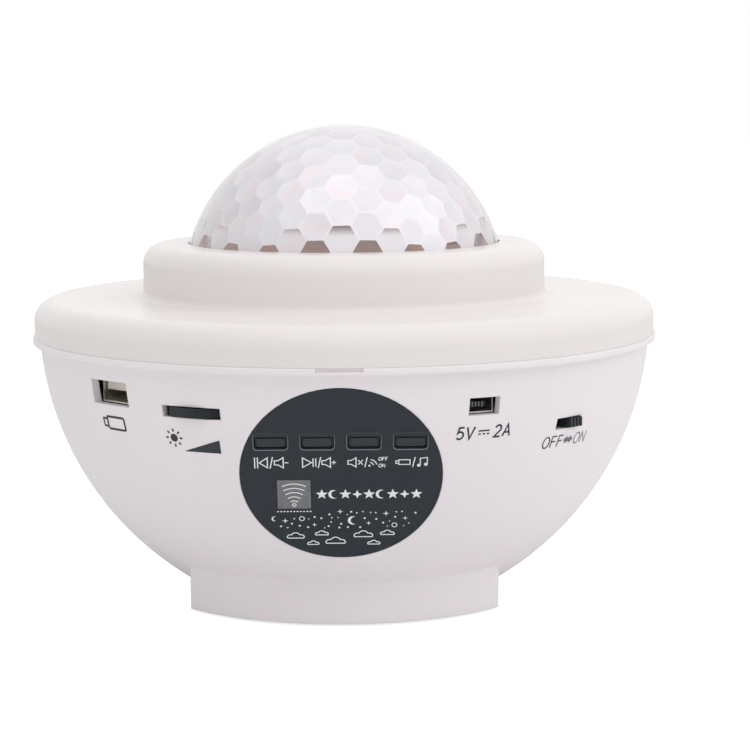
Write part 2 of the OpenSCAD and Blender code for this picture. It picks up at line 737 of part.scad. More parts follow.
// A clear lens lies flush in the deck and bulges over the ripple disc
module deck_lens() color("aliceblue", 0.7) rotate_extrude() polygon(concat(
    [[0, deck_mid_z - lens_t], [lens_r - seat_gap, deck_mid_z - lens_t]],
    [for (i = [0:arc_steps]) let (x = (lens_r - seat_gap) * (1 - i / arc_steps))
        [x, deck_mid_z + lens_bulge * (1 - pow(x / (lens_r - seat_gap), 2))]]));

module deck_screws() color("silver") each_deck_screw()
    translate([0, 0, deck_rim_under]) {
        difference() {
            translate([0, 0, -head_h]) cylinder(r = head_r, h = head_h);
            for (a = [0, 90])
                rotate([0, 0, a]) translate([-1.1, -0.25, -head_h - eps]) cube([2.2, 0.5, 0.7]);
        }
        translate([0, 0, -eps]) cylinder(r = pilot_r - 0.2 - running_gap, h = deck_t + flange_t);
    }

// ---------------------------------------------------------------- lamp

module heat_sink() color("silver") difference() {
    union() {
        disc_at(0, 0, sink_z - sink_t, sink_r, sink_t);
        for (y = [-1, 1]) {
            disc_at(0, y * lug_y, sink_z - sink_t, lug_r, sink_t);
            translate([-lug_r, y > 0 ? sink_r - 3 : -lug_y, sink_z - sink_t])
                cube([2 * lug_r, lug_y - sink_r + 3, sink_t]);
        }
        for (i = [0:fin_count - 1]) {
            x = (i - (fin_count - 1) / 2) * (2 * sink_r - 8) / (fin_count - 1);
            half = sqrt(sink_r * sink_r - pow(abs(x) + 0.7, 2)) - 1;
            translate([x - 0.7, -half, sink_z - sink_t - fin_h]) cube([1.4, 2 * half, fin_h + eps]);
        }
    }
    for (y = [-1, 1]) disc_at(0, y * lug_y, sink_z - sink_t - 1, pilot_r + 0.1, sink_t + 2);
}

module heat_sink_screws() color("silver") for (y = [-1, 1])
    translate([0, y * lug_y, sink_z - sink_t]) screw(sink_t + screw_bite);

module lamp_board() color("white") disc_at(0, 0, sink_z, lamp_board_r, lamp_board_t);

module lamp_chips() color("khaki") for (a = [45:90:315]) rotate([0, 0, a])
    translate([4.2, 0, 0]) centred([lamp_chip, lamp_chip, 0.9], lamp_top);

// The ripple disc turns just above the reflector's rim
module lamp_reflector() color("gainsboro") rotate_extrude() polygon([
    [8, lamp_top], [8 + reflector_t, lamp_top], [tube_r - 1 + reflector_t, reflector_top - 1],
    [tube_r + 2, reflector_top - 1], [tube_r + 2, reflector_top], [tube_r - 1, reflector_top]]);

// ---------------------------------------------------------------- control panel

module control_panel() color("darkslategray") at_panel() difference() {
    translate([0, 0, panel_back]) cylinder(r = panel_r, h = panel_t);
    translate([0, 0, panel_back - 1]) linear_extrude(panel_t + 2) {
        each_key() rounded(key_w + 2 * key_gap, key_h + 2 * key_gap, key_corner + key_gap);
        translate([ir_x, ir_y]) square([ir_w, ir_h], center = true);
    }
}

module ir_window() color("dimgray") at_panel() translate([ir_x, ir_y, 0]) {
    centred([ir_w - 2 * seat_gap, ir_h - 2 * seat_gap, panel_t], panel_back);
    centred([ir_w + 1.2, ir_h + 1.2, 0.8], panel_back - 0.8);
}

// A key: a cap, a ledge that stops it behind the panel, and a stem to its switch
module panel_key(i) color("black") at_panel() translate([(i - 1.5) * key_pitch, key_row, 0]) {
    translate([0, 0, panel_back - seat_gap - eps])
        linear_extrude(panel_t + seat_gap - key_sunk + eps) rounded(key_w, key_h, key_corner);
    centred([key_w, flange_key_h, flange_key_t], panel_back - seat_gap - flange_key_t);
    stem_end = key_board_d + tact_h + plunger_out;
    disc_at(0, 0, stem_end, stem_r, panel_back - seat_gap - flange_key_t - stem_end + eps);
}

module key_previous() panel_key(0);
module key_play() panel_key(1);
module key_mute() panel_key(2);
module key_source() panel_key(3);

module switch_plunger(i) color("dimgray") at_panel()
    disc_at((i - 1.5) * key_pitch, key_row, key_board_d + tact_h + plunger_out - plunger_len,
        plunger_r, plunger_len);

module plunger_previous() switch_plunger(0);
module plunger_play() switch_plunger(1);
module plunger_mute() switch_plunger(2);
module plunger_source() switch_plunger(3);

module tact_switches() color("black") at_panel() each_key() difference() {
    centred([tact_w, tact_w, tact_h], key_board_d);
    disc_at(0, 0, key_board_d + tact_h - tact_well, tact_well_r, tact_well + 1);
}

module key_board() color("darkgreen") at_panel() difference() {
    translate([-key_board_half_w, key_board_low, key_board_d - key_board_t])
        cube([2 * key_board_half_w, key_board_top - key_board_low, key_board_t]);
    each_key_post() disc_at(0, 0, key_board_d - key_board_t - 1, pilot_r + 0.1, key_board_t + 2);
}

module key_board_screws() color("silver") at_panel() each_key_post()
    translate([0, 0, key_board_d - key_board_t]) {
        translate([0, 0, -head_h]) cylinder(r = head_r, h = head_h);
        translate([0, 0, -eps]) cylinder(r = pilot_r - 0.2 - running_gap, h = key_board_t + 4);
    }

module ir_receiver() color("black") at_panel() translate([ir_x, ir_y, 0]) {
    centred([6, 6.6, 3], key_board_d);
    translate([0, 0, key_board_d + 3 - eps]) cylinder(r1 = 2.6, r2 = 1.6, h = 1.6);
}

// ---------------------------------------------------------------- brightness wheel

module brightness_wheel() color("black") at_azimuth(wheel_az) translate([0, -wheel_pos, wheel_z])
    linear_extrude(wheel_t) difference() {
        polygon([for (i = [0:2 * wheel_grips - 1]) let (a = i * 180 / wheel_grips)
            (wheel_r - (i % 2) * grip_depth) * [cos(a), sin(a)]]);
        circle(r = spindle_r + running_gap);
    }

module wheel_base() color("sienna") at_azimuth(wheel_az) translate([0, -wheel_pos, 0]) {
    front = behind_wall(board_top, wheel_base_w / 2) - wheel_pos;
    translate([-wheel_base_w / 2, -front, board_top]) cube([wheel_base_w, front + 8.5, wheel_base_t]);
    disc_at(0, 0, board_top + wheel_base_t - eps, spindle_r, wheel_t + 0.4 + 2 * eps);
    disc_at(0, 0, board_top + wheel_base_t + wheel_t + 0.4, spindle_r + 1.1, 0.5);
}

// ---------------------------------------------------------------- sockets

// A sheet metal socket: a tube with its mouth behind the bowl's wall, on four legs on the board
module socket_shell(az, z, size) at_azimuth(az) {
    mouth = behind_wall(z - size[2] / 2, size[0] / 2);
    translate([0, -mouth, z - size[2] / 2]) {
        difference() {
            translate([-size[0] / 2, 0, 0]) cube(size);
            translate([-size[0] / 2 + sheet_t, -1, sheet_t])
                cube([size[0] - 2 * sheet_t, size[1] - sheet_t + 1, size[2] - 2 * sheet_t]);
        }
        leg_h = z - size[2] / 2 - board_top;
        for (x = [-1, 1], y = [3, size[1] - 3]) translate([x * (size[0] / 2 - 0.8) - 0.8, y, -leg_h])
            cube([1.6, 1.2, leg_h + sheet_t]);
    }
}

// The moulded tongue and the block at its root, which fill the back of the shell
module socket_insulator(az, z, size, tongue_w, tongue_t, tongue_z) at_azimuth(az) {
    mouth = behind_wall(z - size[2] / 2, size[0] / 2);
    back = size[1] - sheet_t;
    inner_w = size[0] - 2 * sheet_t;
    translate([0, -mouth, z]) {
        translate([-inner_w / 2, back - 3, -size[2] / 2 + sheet_t])
            cube([inner_w, 3, size[2] - 2 * sheet_t]);
        translate([-tongue_w / 2, 1, tongue_z]) cube([tongue_w, back - 3, tongue_t]);
    }
}

module usb_socket_shell() color("lightgray") socket_shell(usb_az, base_z + usb_h, usb_shell);
module usb_socket_insulator() color("black")
    socket_insulator(usb_az, base_z + usb_h, usb_shell, 11.1, 1.9, 0.2);
module power_socket_shell() color("lightgray") socket_shell(dc_az, base_z + dc_h, dc_shell);
module power_socket_insulator() color("black")
    socket_insulator(dc_az, base_z + dc_h, dc_shell, 4.6, 1, -0.5);

// ---------------------------------------------------------------- slide switch

module slide_switch_case() color("silver") at_azimuth(switch_az)
    translate([0, -switch_face, switch_z - switch_case_h / 2]) difference() {
        translate([-switch_case[0] / 2, 0, 0]) cube(switch_case);
        translate([-switch_slot_w / 2, -1, (switch_case_h - knob_h) / 2 - seat_gap])
            cube([switch_slot_w, 3.4, knob_h + 2 * seat_gap]);
    }

module slide_knob() color("black") at_azimuth(switch_az) translate([knob_rest, 0, switch_z]) {
    front = bowl_out(switch_z) + knob_proud;
    back = switch_face - 2.2;
    difference() {
        translate([-knob_w / 2, -front, -knob_h / 2]) cube([knob_w, front - back, knob_h]);
        for (i = [-1:1]) translate([i * 1.2 - 0.25, -front - eps, -knob_h]) cube([0.5, 0.35, 2 * knob_h]);
    }
}

// ---------------------------------------------------------------- boards

module main_board() color("darkgreen") translate([0, 0, board_z]) difference() {
    linear_extrude(board_t) difference() {
        intersection() {
            circle(r = board_r);
            translate([-board_r, -board_r]) square([2 * board_r, board_r + board_back_y]);
        }
        translate([-key_board_half_w - 1.6, -board_r])
            square([2 * key_board_half_w + 3.2, board_r + board_notch_y]);
    }
    each_board_post() disc_at(0, 0, -1, pilot_r + 0.1, board_t + 2);
}

module board_screws() color("silver") each_board_post()
    translate([0, 0, board_top]) rotate([180, 0, 0]) screw(board_t + screw_bite);

module board_chips() color("black") for (c = chips)
    translate([c[0], c[1], 0]) centred([c[2], c[3], c[4]], board_top);

module board_capacitors() color("midnightblue") for (p = capacitor_places)
    disc_at(p[0], p[1], board_top, capacitor_r, capacitor_h);

// Points beside a path, d to its left
function beside(path, d) = [for (i = [0:len(path) - 1])
    let (a = path[max(i - 1, 0)], b = path[min(i + 1, len(path) - 1)])
        path[i] + d * unit([a[1] - b[1], b[0] - a[0]])];

// A lead that eases from one upright end to another, and one that runs level and then turns down
function eased(a, b) = [for (i = [0:arc_steps]) let (u = i / arc_steps)
    [a[0] + (b[0] - a[0]) * (1 - cos(180 * u)) / 2, a[1] + (b[1] - a[1]) * u]];
function turned_down(a, x, r, z) = concat([a], arc(x - r, a[1] - r, r, 90, 0, 6), [[x, z]]);

// A flat lead along a path in the XZ plane
module lead(path, w, t) {
    back = beside(path, -t / 2);
    rotate([90, 0, 0]) translate([0, 0, -w / 2]) linear_extrude(w)
        polygon(concat(beside(path, t / 2), [for (i = [len(path) - 1:-1:0]) back[i]]));
}

module speaker_lead() color("firebrick") rotate([0, 0, speaker_lead_az]) lead(eased(
    [speaker_r - 0.8, speaker_z + speaker_rim_t + seat_gap], [speaker_r + 4, board_z - seat_gap]),
    lead_w, lead_t);

module lamp_lead() color("firebrick") rotate([0, 0, lamp_lead_az]) lead(turned_down(
    [lamp_board_r - 1, lamp_top + seat_gap + lead_t / 2], sink_r + 3, 1.5, board_top + seat_gap),
    lead_w, lead_t);

module motor_lead() color("firebrick") translate([pinion_x, 0, 0]) rotate([0, 0, -90]) lead(eased(
    [3.5, motor_z - motor_len - lead_gap], [lead_end_y, board_top + lead_gap]), lead_w, lead_t);

module laser_lead() color("firebrick") translate([grating_x, 0, 0]) rotate([0, 0, -90]) lead(eased(
    [0, laser_top - laser_len - lead_gap], [lead_end_y, board_top + lead_gap]), lead_w, lead_t);

module key_ribbon() color("lightgray") rotate([0, 0, 90]) lead(turned_down(
    [-key_back_y(ribbon_z - ribbon_t / 2), ribbon_z], board_notch_y + 2.5, 1.2, board_top + seat_gap),
    ribbon_w, ribbon_t);

// ---------------------------------------------------------------- bottom and speaker

module bottom_cover() color("whitesmoke") difference() {
    union() {
        translate([0, 0, bottom_z]) linear_extrude(bottom_t) foot_outline(shell_wall + bottom_gap);
        ring_at(bottom_top - eps, speaker_r + seat_gap + speaker_ring_wall, speaker_r + seat_gap,
            speaker_ring_h);
    }
    disc_at(0, 0, bottom_z - 1, grille_hole_r, bottom_t + 2);
    for (ring = [1:grille_rings], i = [0:6 * ring - 1]) rotate([0, 0, i * 60 / ring])
        disc_at(ring * grille_pitch, 0, bottom_z - 1, grille_hole_r, bottom_t + 2);
    each_bottom_screw() {
        disc_at(0, 0, bottom_z - 1, pilot_r + 0.1, bottom_t + 2);
        disc_at(0, 0, bottom_z - head_web, head_r + 0.4, bottom_t);
    }
    each_foot_pad() disc_at(0, 0, bottom_z - 1, pad_r + seat_gap / 2, 1 + pad_recess);
}

module bottom_screws() color("silver") each_bottom_screw()
    translate([0, 0, bottom_top - head_web]) screw(bottom_screw_len);

module rubber_feet() color("gray") each_foot_pad() rotate_extrude() polygon(concat(
    [[0, 0]], arc(pad_r - 0.5, 0.5, 0.5, 270, 360, 4),
    [[pad_r, bottom_z + pad_recess], [0, bottom_z + pad_recess]]));

module speaker_gasket() color("dimgray")
    ring_at(bottom_top, speaker_r, speaker_r - 3, speaker_z - bottom_top);

module speaker_frame() color("silver") rotate_extrude() polygon([
    [speaker_r - 3, speaker_z], [speaker_r, speaker_z], [speaker_r, speaker_z + speaker_rim_t],
    [speaker_r - 1.5, speaker_z + speaker_rim_t], [magnet_r, speaker_z + speaker_h],
    [6, speaker_z + speaker_h], [6, speaker_z + speaker_h - 0.8],
    [magnet_r - 0.6, speaker_z + speaker_h - 0.8], [speaker_r - 3, speaker_z + speaker_rim_t]]);

module speaker_cone() color("black") rotate_extrude() polygon([
    [0, speaker_z + 3.2], [5, speaker_z + 4.2], [speaker_r - 4.6, speaker_z + 0.4],
    [speaker_r - 3.1, speaker_z + 0.4], [speaker_r - 3.1, speaker_z + 0.9],
    [speaker_r - 4.4, speaker_z + 0.9], [5.2, speaker_z + 4.8],
    [5.2, speaker_z + speaker_h + 1], [4.6, speaker_z + speaker_h + 1], [4.6, speaker_z + 4.6],
    [0, speaker_z + 3.7]]);

module speaker_magnet() color("dimgray") difference() {
    disc_at(0, 0, speaker_z + speaker_h, magnet_r, magnet_h);
    ring_at(speaker_z + speaker_h - 1, 6, 4, 4);
}

bowl_housing();
top_cover();
crystal_dome();
light_deck();
control_panel();
ir_window();
key_previous();
key_play();
key_mute();
key_source();
plunger_previous();
plunger_play();
plunger_mute();
plunger_source();
tact_switches();
key_board();
ir_receiver();
key_board_screws();
brightness_wheel();
wheel_base();
usb_socket_shell();
usb_socket_insulator();
power_socket_shell();
power_socket_insulator();
slide_switch_case();
slide_knob();
main_board();
board_chips();
board_capacitors();
board_screws();
lamp_board();
lamp_chips();
heat_sink();
heat_sink_screws();
lamp_reflector();
deck_lens();
ripple_disc();
star_grating();
laser_module();
laser_bracket();
drive_motor();
motor_shaft();
drive_pinion();
drive_screws();
deck_screws();
bottom_cover();
bottom_screws();
rubber_feet();
speaker_frame();
speaker_cone();
speaker_magnet();
speaker_gasket();
speaker_lead();
lamp_lead();
motor_lead();
laser_lead();
key_ribbon();
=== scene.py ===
import json
import math
import random

import bmesh
import bpy
import numpy as np
from mathutils import Matrix, Vector


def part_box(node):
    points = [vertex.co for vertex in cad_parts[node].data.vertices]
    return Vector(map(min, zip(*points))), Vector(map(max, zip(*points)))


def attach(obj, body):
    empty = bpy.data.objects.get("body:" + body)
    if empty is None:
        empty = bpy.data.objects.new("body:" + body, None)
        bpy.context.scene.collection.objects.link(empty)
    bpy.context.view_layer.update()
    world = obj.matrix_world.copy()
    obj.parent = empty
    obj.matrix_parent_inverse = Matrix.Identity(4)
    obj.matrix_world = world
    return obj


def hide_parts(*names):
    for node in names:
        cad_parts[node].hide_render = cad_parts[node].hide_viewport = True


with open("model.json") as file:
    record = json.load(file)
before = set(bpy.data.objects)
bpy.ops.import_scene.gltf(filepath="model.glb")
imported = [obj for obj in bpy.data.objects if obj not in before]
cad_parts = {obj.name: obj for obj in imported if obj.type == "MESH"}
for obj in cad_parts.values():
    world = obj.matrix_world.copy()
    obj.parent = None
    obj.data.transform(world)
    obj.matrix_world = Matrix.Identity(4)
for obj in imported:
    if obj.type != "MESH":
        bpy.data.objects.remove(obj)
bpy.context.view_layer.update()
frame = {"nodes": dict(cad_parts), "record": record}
parts = frame["nodes"]

# Lengths are in millimetres up to the last step, where MM turns them to metres.
MM = 0.001
MICRON = 1e-6
BOWL_Z = 72.2        # height of the bowl's centre
BOWL_R = 80.8        # outer radius of the bowl
PANEL_D = 76.96      # distance of the panel's face from the bowl's centre
PANEL_TILT = math.radians(23.6)
INK = 0.03           # how far printed ink stands off what it is printed on

DOME_Z = 79.8        # height of the dome's centre
DOME_R = 42.7        # outer radius of the dome
DOME_IN = 40.9       # distance of a facet from the dome's centre
FLANGE_R = 46.8      # the dome's flange, which the cover's collar holds down
FLANGE_LOW = 88.0
FLANGE_TOP = 89.6

KEY_W, KEY_H, KEY_CORNER = 7.4, 3.9, 0.6
KEY_PITCH = 11.0
KEY_ROW = 9.4        # height of the row of keys above the panel's middle
KEY_SUNK = 0.7       # how far a key's face lies behind the panel's


# ------------------------------------------------------------------ colours and nodes

def srgb(code):
    """A hex colour as the linear colour that a shader takes."""
    channels = [int(code[i:i + 2], 16) / 255 for i in (0, 2, 4)]
    return tuple(c / 12.92 if c <= 0.04045 else ((c + 0.055) / 1.055) ** 2.4 for c in channels) + (1.0,)


def add(tree, kind, settings=None, feeds=None):
    """Adds one shader node. Settings are its own values or its sockets' values; feeds link its sockets."""
    made = tree.nodes.new("ShaderNode" + kind)
    for name, value in (settings or {}).items():
        if isinstance(name, int) or name in made.inputs:
            made.inputs[name].default_value = value
        else:
            setattr(made, name, value)
    for socket, source in (feeds or {}).items():
        tree.links.new(source, made.inputs[socket])
    return made


def begin(name, **sockets):
    """A new material with its shader's plain values set on the shader's own sockets."""
    made = bpy.data.materials.new(name)
    made.use_nodes = True
    shader = made.node_tree.nodes["Principled BSDF"]
    for socket, value in sockets.items():
        shader.inputs[socket.replace("_", " ")].default_value = value
    return made, made.node_tree, shader


def per_metre(size_mm):
    """How often a pattern of this size fits into a metre, which is what a texture's scale means."""
    return 1000 / size_mm


def surface(tree, shader, low, high, patch_mm, grain_mm, grain_um, soften_mm=0.0):
    """Colour that drifts between two tones over patch_mm, and a moulded grain with rounded edges."""
    place = add(tree, "TexCoord").outputs["Object"]
    drift = add(tree, "TexNoise", {"Scale": per_metre(patch_mm), "Detail": 3.0}, {"Vector": place})
    tone = add(tree, "Mix", {"data_type": "RGBA", 6: srgb(low), 7: srgb(high)}, {0: drift.outputs["Fac"]})
    tree.links.new(tone.outputs[2], shader.inputs["Base Color"])
    grain = add(tree, "TexNoise", {"Scale": per_metre(grain_mm), "Detail": 2.0}, {"Vector": place})
    bump = add(tree, "Bump", {"Strength": 1.0, "Distance": grain_um * MICRON},
               {"Height": grain.outputs["Fac"]})
    if soften_mm:
        edge = add(tree, "Bevel", {"samples": 6, "Radius": soften_mm * MM})
        tree.links.new(edge.outputs["Normal"], bump.inputs["Normal"])
    tree.links.new(bump.outputs["Normal"], shader.inputs["Normal"])


# ------------------------------------------------------------------ materials

def abs_bowl():
    """ABS moulded in a spark-eroded tool: a cool white with a faint lilac cast and a soft satin sheen.
    The tool's grain is 0.08 mm; it is drawn at 0.35 mm so that it shows."""
    made, tree, shader = begin("abs_moulded_cool_white", Roughness=0.42, IOR=1.53,
                               Subsurface_Weight=0.06, Subsurface_Scale=0.0012)
    surface(tree, shader, "F1EBEE", "F5EFF2", 38, 0.35, 2.5, 0.35)
    return made


def abs_cover():
    """The same ABS in a warmer white from another moulding, smooth enough to go almost white at a slant."""
    made, tree, shader = begin("abs_moulded_warm_white", Roughness=0.3, IOR=1.53,
                               Subsurface_Weight=0.06, Subsurface_Scale=0.0012)
    surface(tree, shader, "ECE6E4", "F0EBE9", 42, 0.35, 1.2, 0.4)
    return made


def abs_deck():
    """ABS moulded in taupe: a warm brown-grey floor that shows through the dome's lowest facets."""
    made, tree, shader = begin("abs_moulded_taupe", Roughness=0.4, IOR=1.53)
    surface(tree, shader, "CDB2A2", "D6BDAE", 25, 0.3, 2, 0.3)
    return made


POLISHED = 0.03      # roughness of clear plastic from a polished tool
MATT = 0.46          # and from a matt one
PASSED = "F2F0F3"    # the tint of light that has passed through it
SHADE_PASSED = 0.85  # how much of a lamp's light gets through a matt facet to what is behind
HUE_SHARE = 0.3      # how strongly the split light tints a matt facet


def clear_plastic(name, haze, ripple_mm=0.0, ripple_um=0.0):
    """Polystyrene or acrylic moulded in a polished tool: bright and clear, and it bends what is behind it.
    Light for the parts inside passes straight through, so they aren't left black."""
    made, tree, shader = begin(name, Base_Color=srgb("F7F5F8"), Roughness=haze, IOR=1.49,
                               Transmission_Weight=1.0)
    if ripple_mm:
        place = add(tree, "TexCoord").outputs["Object"]
        swell = add(tree, "TexNoise", {"Scale": per_metre(ripple_mm), "Detail": 1.5}, {"Vector": place})
        bump = add(tree, "Bump", {"Strength": 1.0, "Distance": ripple_um * MICRON},
                   {"Height": swell.outputs["Fac"]})
        tree.links.new(bump.outputs["Normal"], shader.inputs["Normal"])
    path = add(tree, "LightPath")
    through = add(tree, "Math", {"operation": "MAXIMUM"},
                  {0: path.outputs["Is Shadow Ray"], 1: path.outputs["Is Diffuse Ray"]})
    open_air = add(tree, "BsdfTransparent", {"Color": srgb(PASSED)})
    either = add(tree, "MixShader", None,
                 {0: through.outputs[0], 1: shader.outputs[0], 2: open_air.outputs[0]})
    tree.links.new(either.outputs[0], tree.nodes["Material Output"].inputs["Surface"])
    return made


def hazed_plastic(name, low, high, show_through, gleam, patch_mm, graded_mm=None):
    """Polystyrene or acrylic moulded matt: light turns back inside it, so it gleams a milky white, with
    faint patches of pink, blue and green where the light is split. graded_mm gives the heights between
    which it goes over upwards from matt to polished, so that what lies behind comes into view."""
    made, tree, shader = begin(name, Roughness=MATT, IOR=1.49, Metallic=gleam,
                               Transmission_Weight=show_through)
    place = add(tree, "TexCoord").outputs["Object"]
    drift = add(tree, "TexNoise", {"Scale": per_metre(patch_mm), "Detail": 2.0}, {"Vector": place})
    tone = add(tree, "Mix", {"data_type": "RGBA", 6: srgb(low), 7: srgb(high)}, {0: drift.outputs["Fac"]})
    split = add(tree, "TexNoise", {"Scale": per_metre(0.7 * patch_mm), "Detail": 0.0}, {"Vector": place})
    hues = add(tree, "ValToRGB", None, {"Fac": split.outputs["Fac"]})
    ramp = hues.color_ramp
    ramp.elements[0].position, ramp.elements[0].color = 0.3, srgb("FDEBEF")
    ramp.elements[1].position, ramp.elements[1].color = 0.7, srgb("EAF5F1")
    for at, code in ((0.42, "F7F4F8"), (0.55, "F5F4F8"), (0.63, "E8EFF7")):
        ramp.elements.new(at).color = srgb(code)
    tinted = add(tree, "Mix", {"data_type": "RGBA", 0: HUE_SHARE},
                 {6: tone.outputs[2], 7: hues.outputs["Color"]})
    tree.links.new(tinted.outputs[2], shader.inputs["Base Color"])
    if graded_mm:
        height = add(tree, "SeparateXYZ", None, {"Vector": place}).outputs["Z"]
        low_end, high_end = graded_mm[0] * MM, graded_mm[1] * MM
        for socket, matt, polished in (("Transmission Weight", show_through, 1.0), ("Metallic", gleam, 0.0),
                                       ("Roughness", MATT, POLISHED)):
            grade = add(tree, "MapRange",
                        {"interpolation_type": "SMOOTHSTEP", "From Min": low_end, "From Max": high_end,
                         "To Min": matt, "To Max": polished}, {"Value": height})
            tree.links.new(grade.outputs[0], shader.inputs[socket])
    path = add(tree, "LightPath")
    through = add(tree, "Math", {"operation": "MULTIPLY", 1: SHADE_PASSED},
                  {0: path.outputs["Is Shadow Ray"]})
    open_air = add(tree, "BsdfTransparent", {"Color": srgb(PASSED)})
    either = add(tree, "MixShader", None,
                 {0: through.outputs[0], 1: shader.outputs[0], 2: open_air.outputs[0]})
    tree.links.new(either.outputs[0], tree.nodes["Material Output"].inputs["Surface"])
    return made


def printed_film():
    """Polycarbonate film printed slate on its back: flat and dark under a faint, even gloss."""
    made, tree, shader = begin("film_printed_slate", Roughness=0.5, IOR=1.5, Specular_IOR_Level=0.3)
    surface(tree, shader, "292E35", "2C3138", 12, 0.25, 1.2, 0.12)
    return made


def smoked_window():
    """Smoked acrylic over the receiver, with a sand-blasted back that reads as grainy mid grey."""
    made, tree, shader = begin("acrylic_smoked", Roughness=0.3, IOR=1.49)
    surface(tree, shader, "5E5F62", "8A8A8C", 0.8, 0.3, 3, 0.1)
    return made


def black_moulding(name, roughness):
    """Black ABS, as moulded: near black, with a thin bright line along its edges."""
    made, tree, shader = begin(name, Roughness=roughness, IOR=1.53)
    surface(tree, shader, "1B2026", "232930", 6, 0.25, 1.5, 0.15)
    return made


def white_ink():
    """Screen ink, white: slightly broken at its edges and a little glossy."""
    made, tree, shader = begin("screen_ink_white", Roughness=0.5, IOR=1.5)
    surface(tree, shader, "E9ECEF", "FAFBFC", 0.6, 0.2, 1)
    return made


def pad_ink(name, low, high):
    """Ink from a pad: thin and matt, so it greys a little where the pad lifts."""
    made, tree, shader = begin(name, Roughness=0.55, IOR=1.5)
    surface(tree, shader, low, high, 0.8, 0.2, 1)
    return made


def rolled_metal(name, low, high, roughness, line_mm=0.25):
    """Rolled, drawn or turned metal: fine level lines, line_mm apart and about ten times as long, which
    break the reflection up. The tool's real lines are closer; they are drawn as coarse as they show."""
    made, tree, shader = begin(name, Metallic=1.0, Roughness=roughness)
    place = add(tree, "TexCoord").outputs["Object"]
    along = add(tree, "Mapping", {"Scale": (1.0, 1.0, 12.0)}, {"Vector": place})
    lines = add(tree, "TexNoise", {"Scale": per_metre(10 * line_mm), "Detail": 3.0},
                {"Vector": along.outputs[0]})
    tone = add(tree, "Mix", {"data_type": "RGBA", 6: srgb(low), 7: srgb(high)}, {0: lines.outputs["Fac"]})
    tree.links.new(tone.outputs[2], shader.inputs["Base Color"])
    edge = add(tree, "Bevel", {"samples": 4, "Radius": 0.1 * MM})
    bump = add(tree, "Bump", {"Strength": 1.0, "Distance": 2 * MICRON},
               {"Height": lines.outputs["Fac"], "Normal": edge.outputs["Normal"]})
    tree.links.new(bump.outputs["Normal"], shader.inputs["Normal"])
    return made


def plain_moulding(name, low, high, roughness, patch_mm=5):
    """Small mouldings: their own colour with a slight drift, and a fine tool grain."""
    made, tree, shader = begin(name, Roughness=roughness, IOR=1.5)
    surface(tree, shader, low, high, patch_mm, 0.2, 2, 0.1)
    return made


def polished_lip_painted_highlight():
    """ABS polished where it rolls into a key's well. Its grey, lighter than the film's, is a painted
    highlight: a thin line that stands in for the light the edge takes.
    """
    made, tree, shader = begin("abs_polished_slate_painted_highlight", Roughness=0.14, IOR=1.6, Specular_IOR_Level=1.0)
    surface(tree, shader, "59616A", "6A727B", 5, 0.2, 1, 0.1)
    return made


def solder_mask(name, low, high):
    """Glass-fibre laminate under solder mask: glossy, with the weave's 0.5 mm squares just visible."""
    made, tree, shader = begin(name, Roughness=0.28, IOR=1.55)
    place = add(tree, "TexCoord").outputs["Object"]
    weave = add(tree, "TexChecker", {"Scale": per_metre(0.5), "Color1": srgb(low), "Color2": srgb(high)},
                {"Vector": place})
    tree.links.new(weave.outputs["Color"], shader.inputs["Base Color"])
    bump = add(tree, "Bump", {"Strength": 1.0, "Distance": 4 * MICRON}, {"Height": weave.outputs["Fac"]})
    tree.links.new(bump.outputs["Normal"], shader.inputs["Normal"])
    return made


def porous(name, low, high, cell_mm, cell_um, roughness=0.8):
    """Rubber, foam or paper pulp: matt, with pores that darken it a little."""
    made, tree, shader = begin(name, Roughness=roughness, IOR=1.52)
    place = add(tree, "TexCoord").outputs["Object"]
    cells = add(tree, "TexVoronoi", {"Scale": per_metre(cell_mm)}, {"Vector": place}).outputs["Distance"]
    tone = add(tree, "Mix", {"data_type": "RGBA", 6: srgb(low), 7: srgb(high)}, {0: cells})
    tree.links.new(tone.outputs[2], shader.inputs["Base Color"])
    bump = add(tree, "Bump", {"Strength": 1.0, "Distance": cell_um * MICRON}, {"Height": cells})
    tree.links.new(bump.outputs["Normal"], shader.inputs["Normal"])
    return made


GRADED_MM = (93.9, 98.5)    # heights above the table, in the dome's second row of facets
film = printed_film()
ink_white = white_ink()
ink_dark = pad_ink("pad_ink_slate", "20262C", "30363C")
ink_grey = pad_ink("pad_ink_grey", "5E6166", "7A7D83")
nickel_bright = rolled_metal("nickel_plated_shell", "DAD6CF", "EFECE6", 0.35)
tinned = rolled_metal("tin_plated_contact", "77787A", "8C8E90", 0.45)
ivory = plain_moulding("liquid_crystal_polymer_ivory", "E6DDD0", "EEE6DA", 0.45)
# the lighter grey of the key lips where they turn is a painted highlight
lip_crest_painted_highlight = polished_lip_painted_highlight()
dome_clear = clear_plastic("polystyrene_clear", POLISHED)
dome_hazed = hazed_plastic("polystyrene_hazed", "FBF9F9", "FFFDFD", 0.08, 0.58, 7)
dome_dim = hazed_plastic("polystyrene_hazed_dim", "F3F0F1", "FAF8F8", 0.14, 0.52, 5)
dome_graded = hazed_plastic("polystyrene_graded", "FBF9F9", "FFFDFD", 0.08, 0.58, 7, GRADED_MM)
dome_rib = hazed_plastic("polystyrene_rib", "FEFDFD", "FFFFFF", 0.03, 0.6, 20)
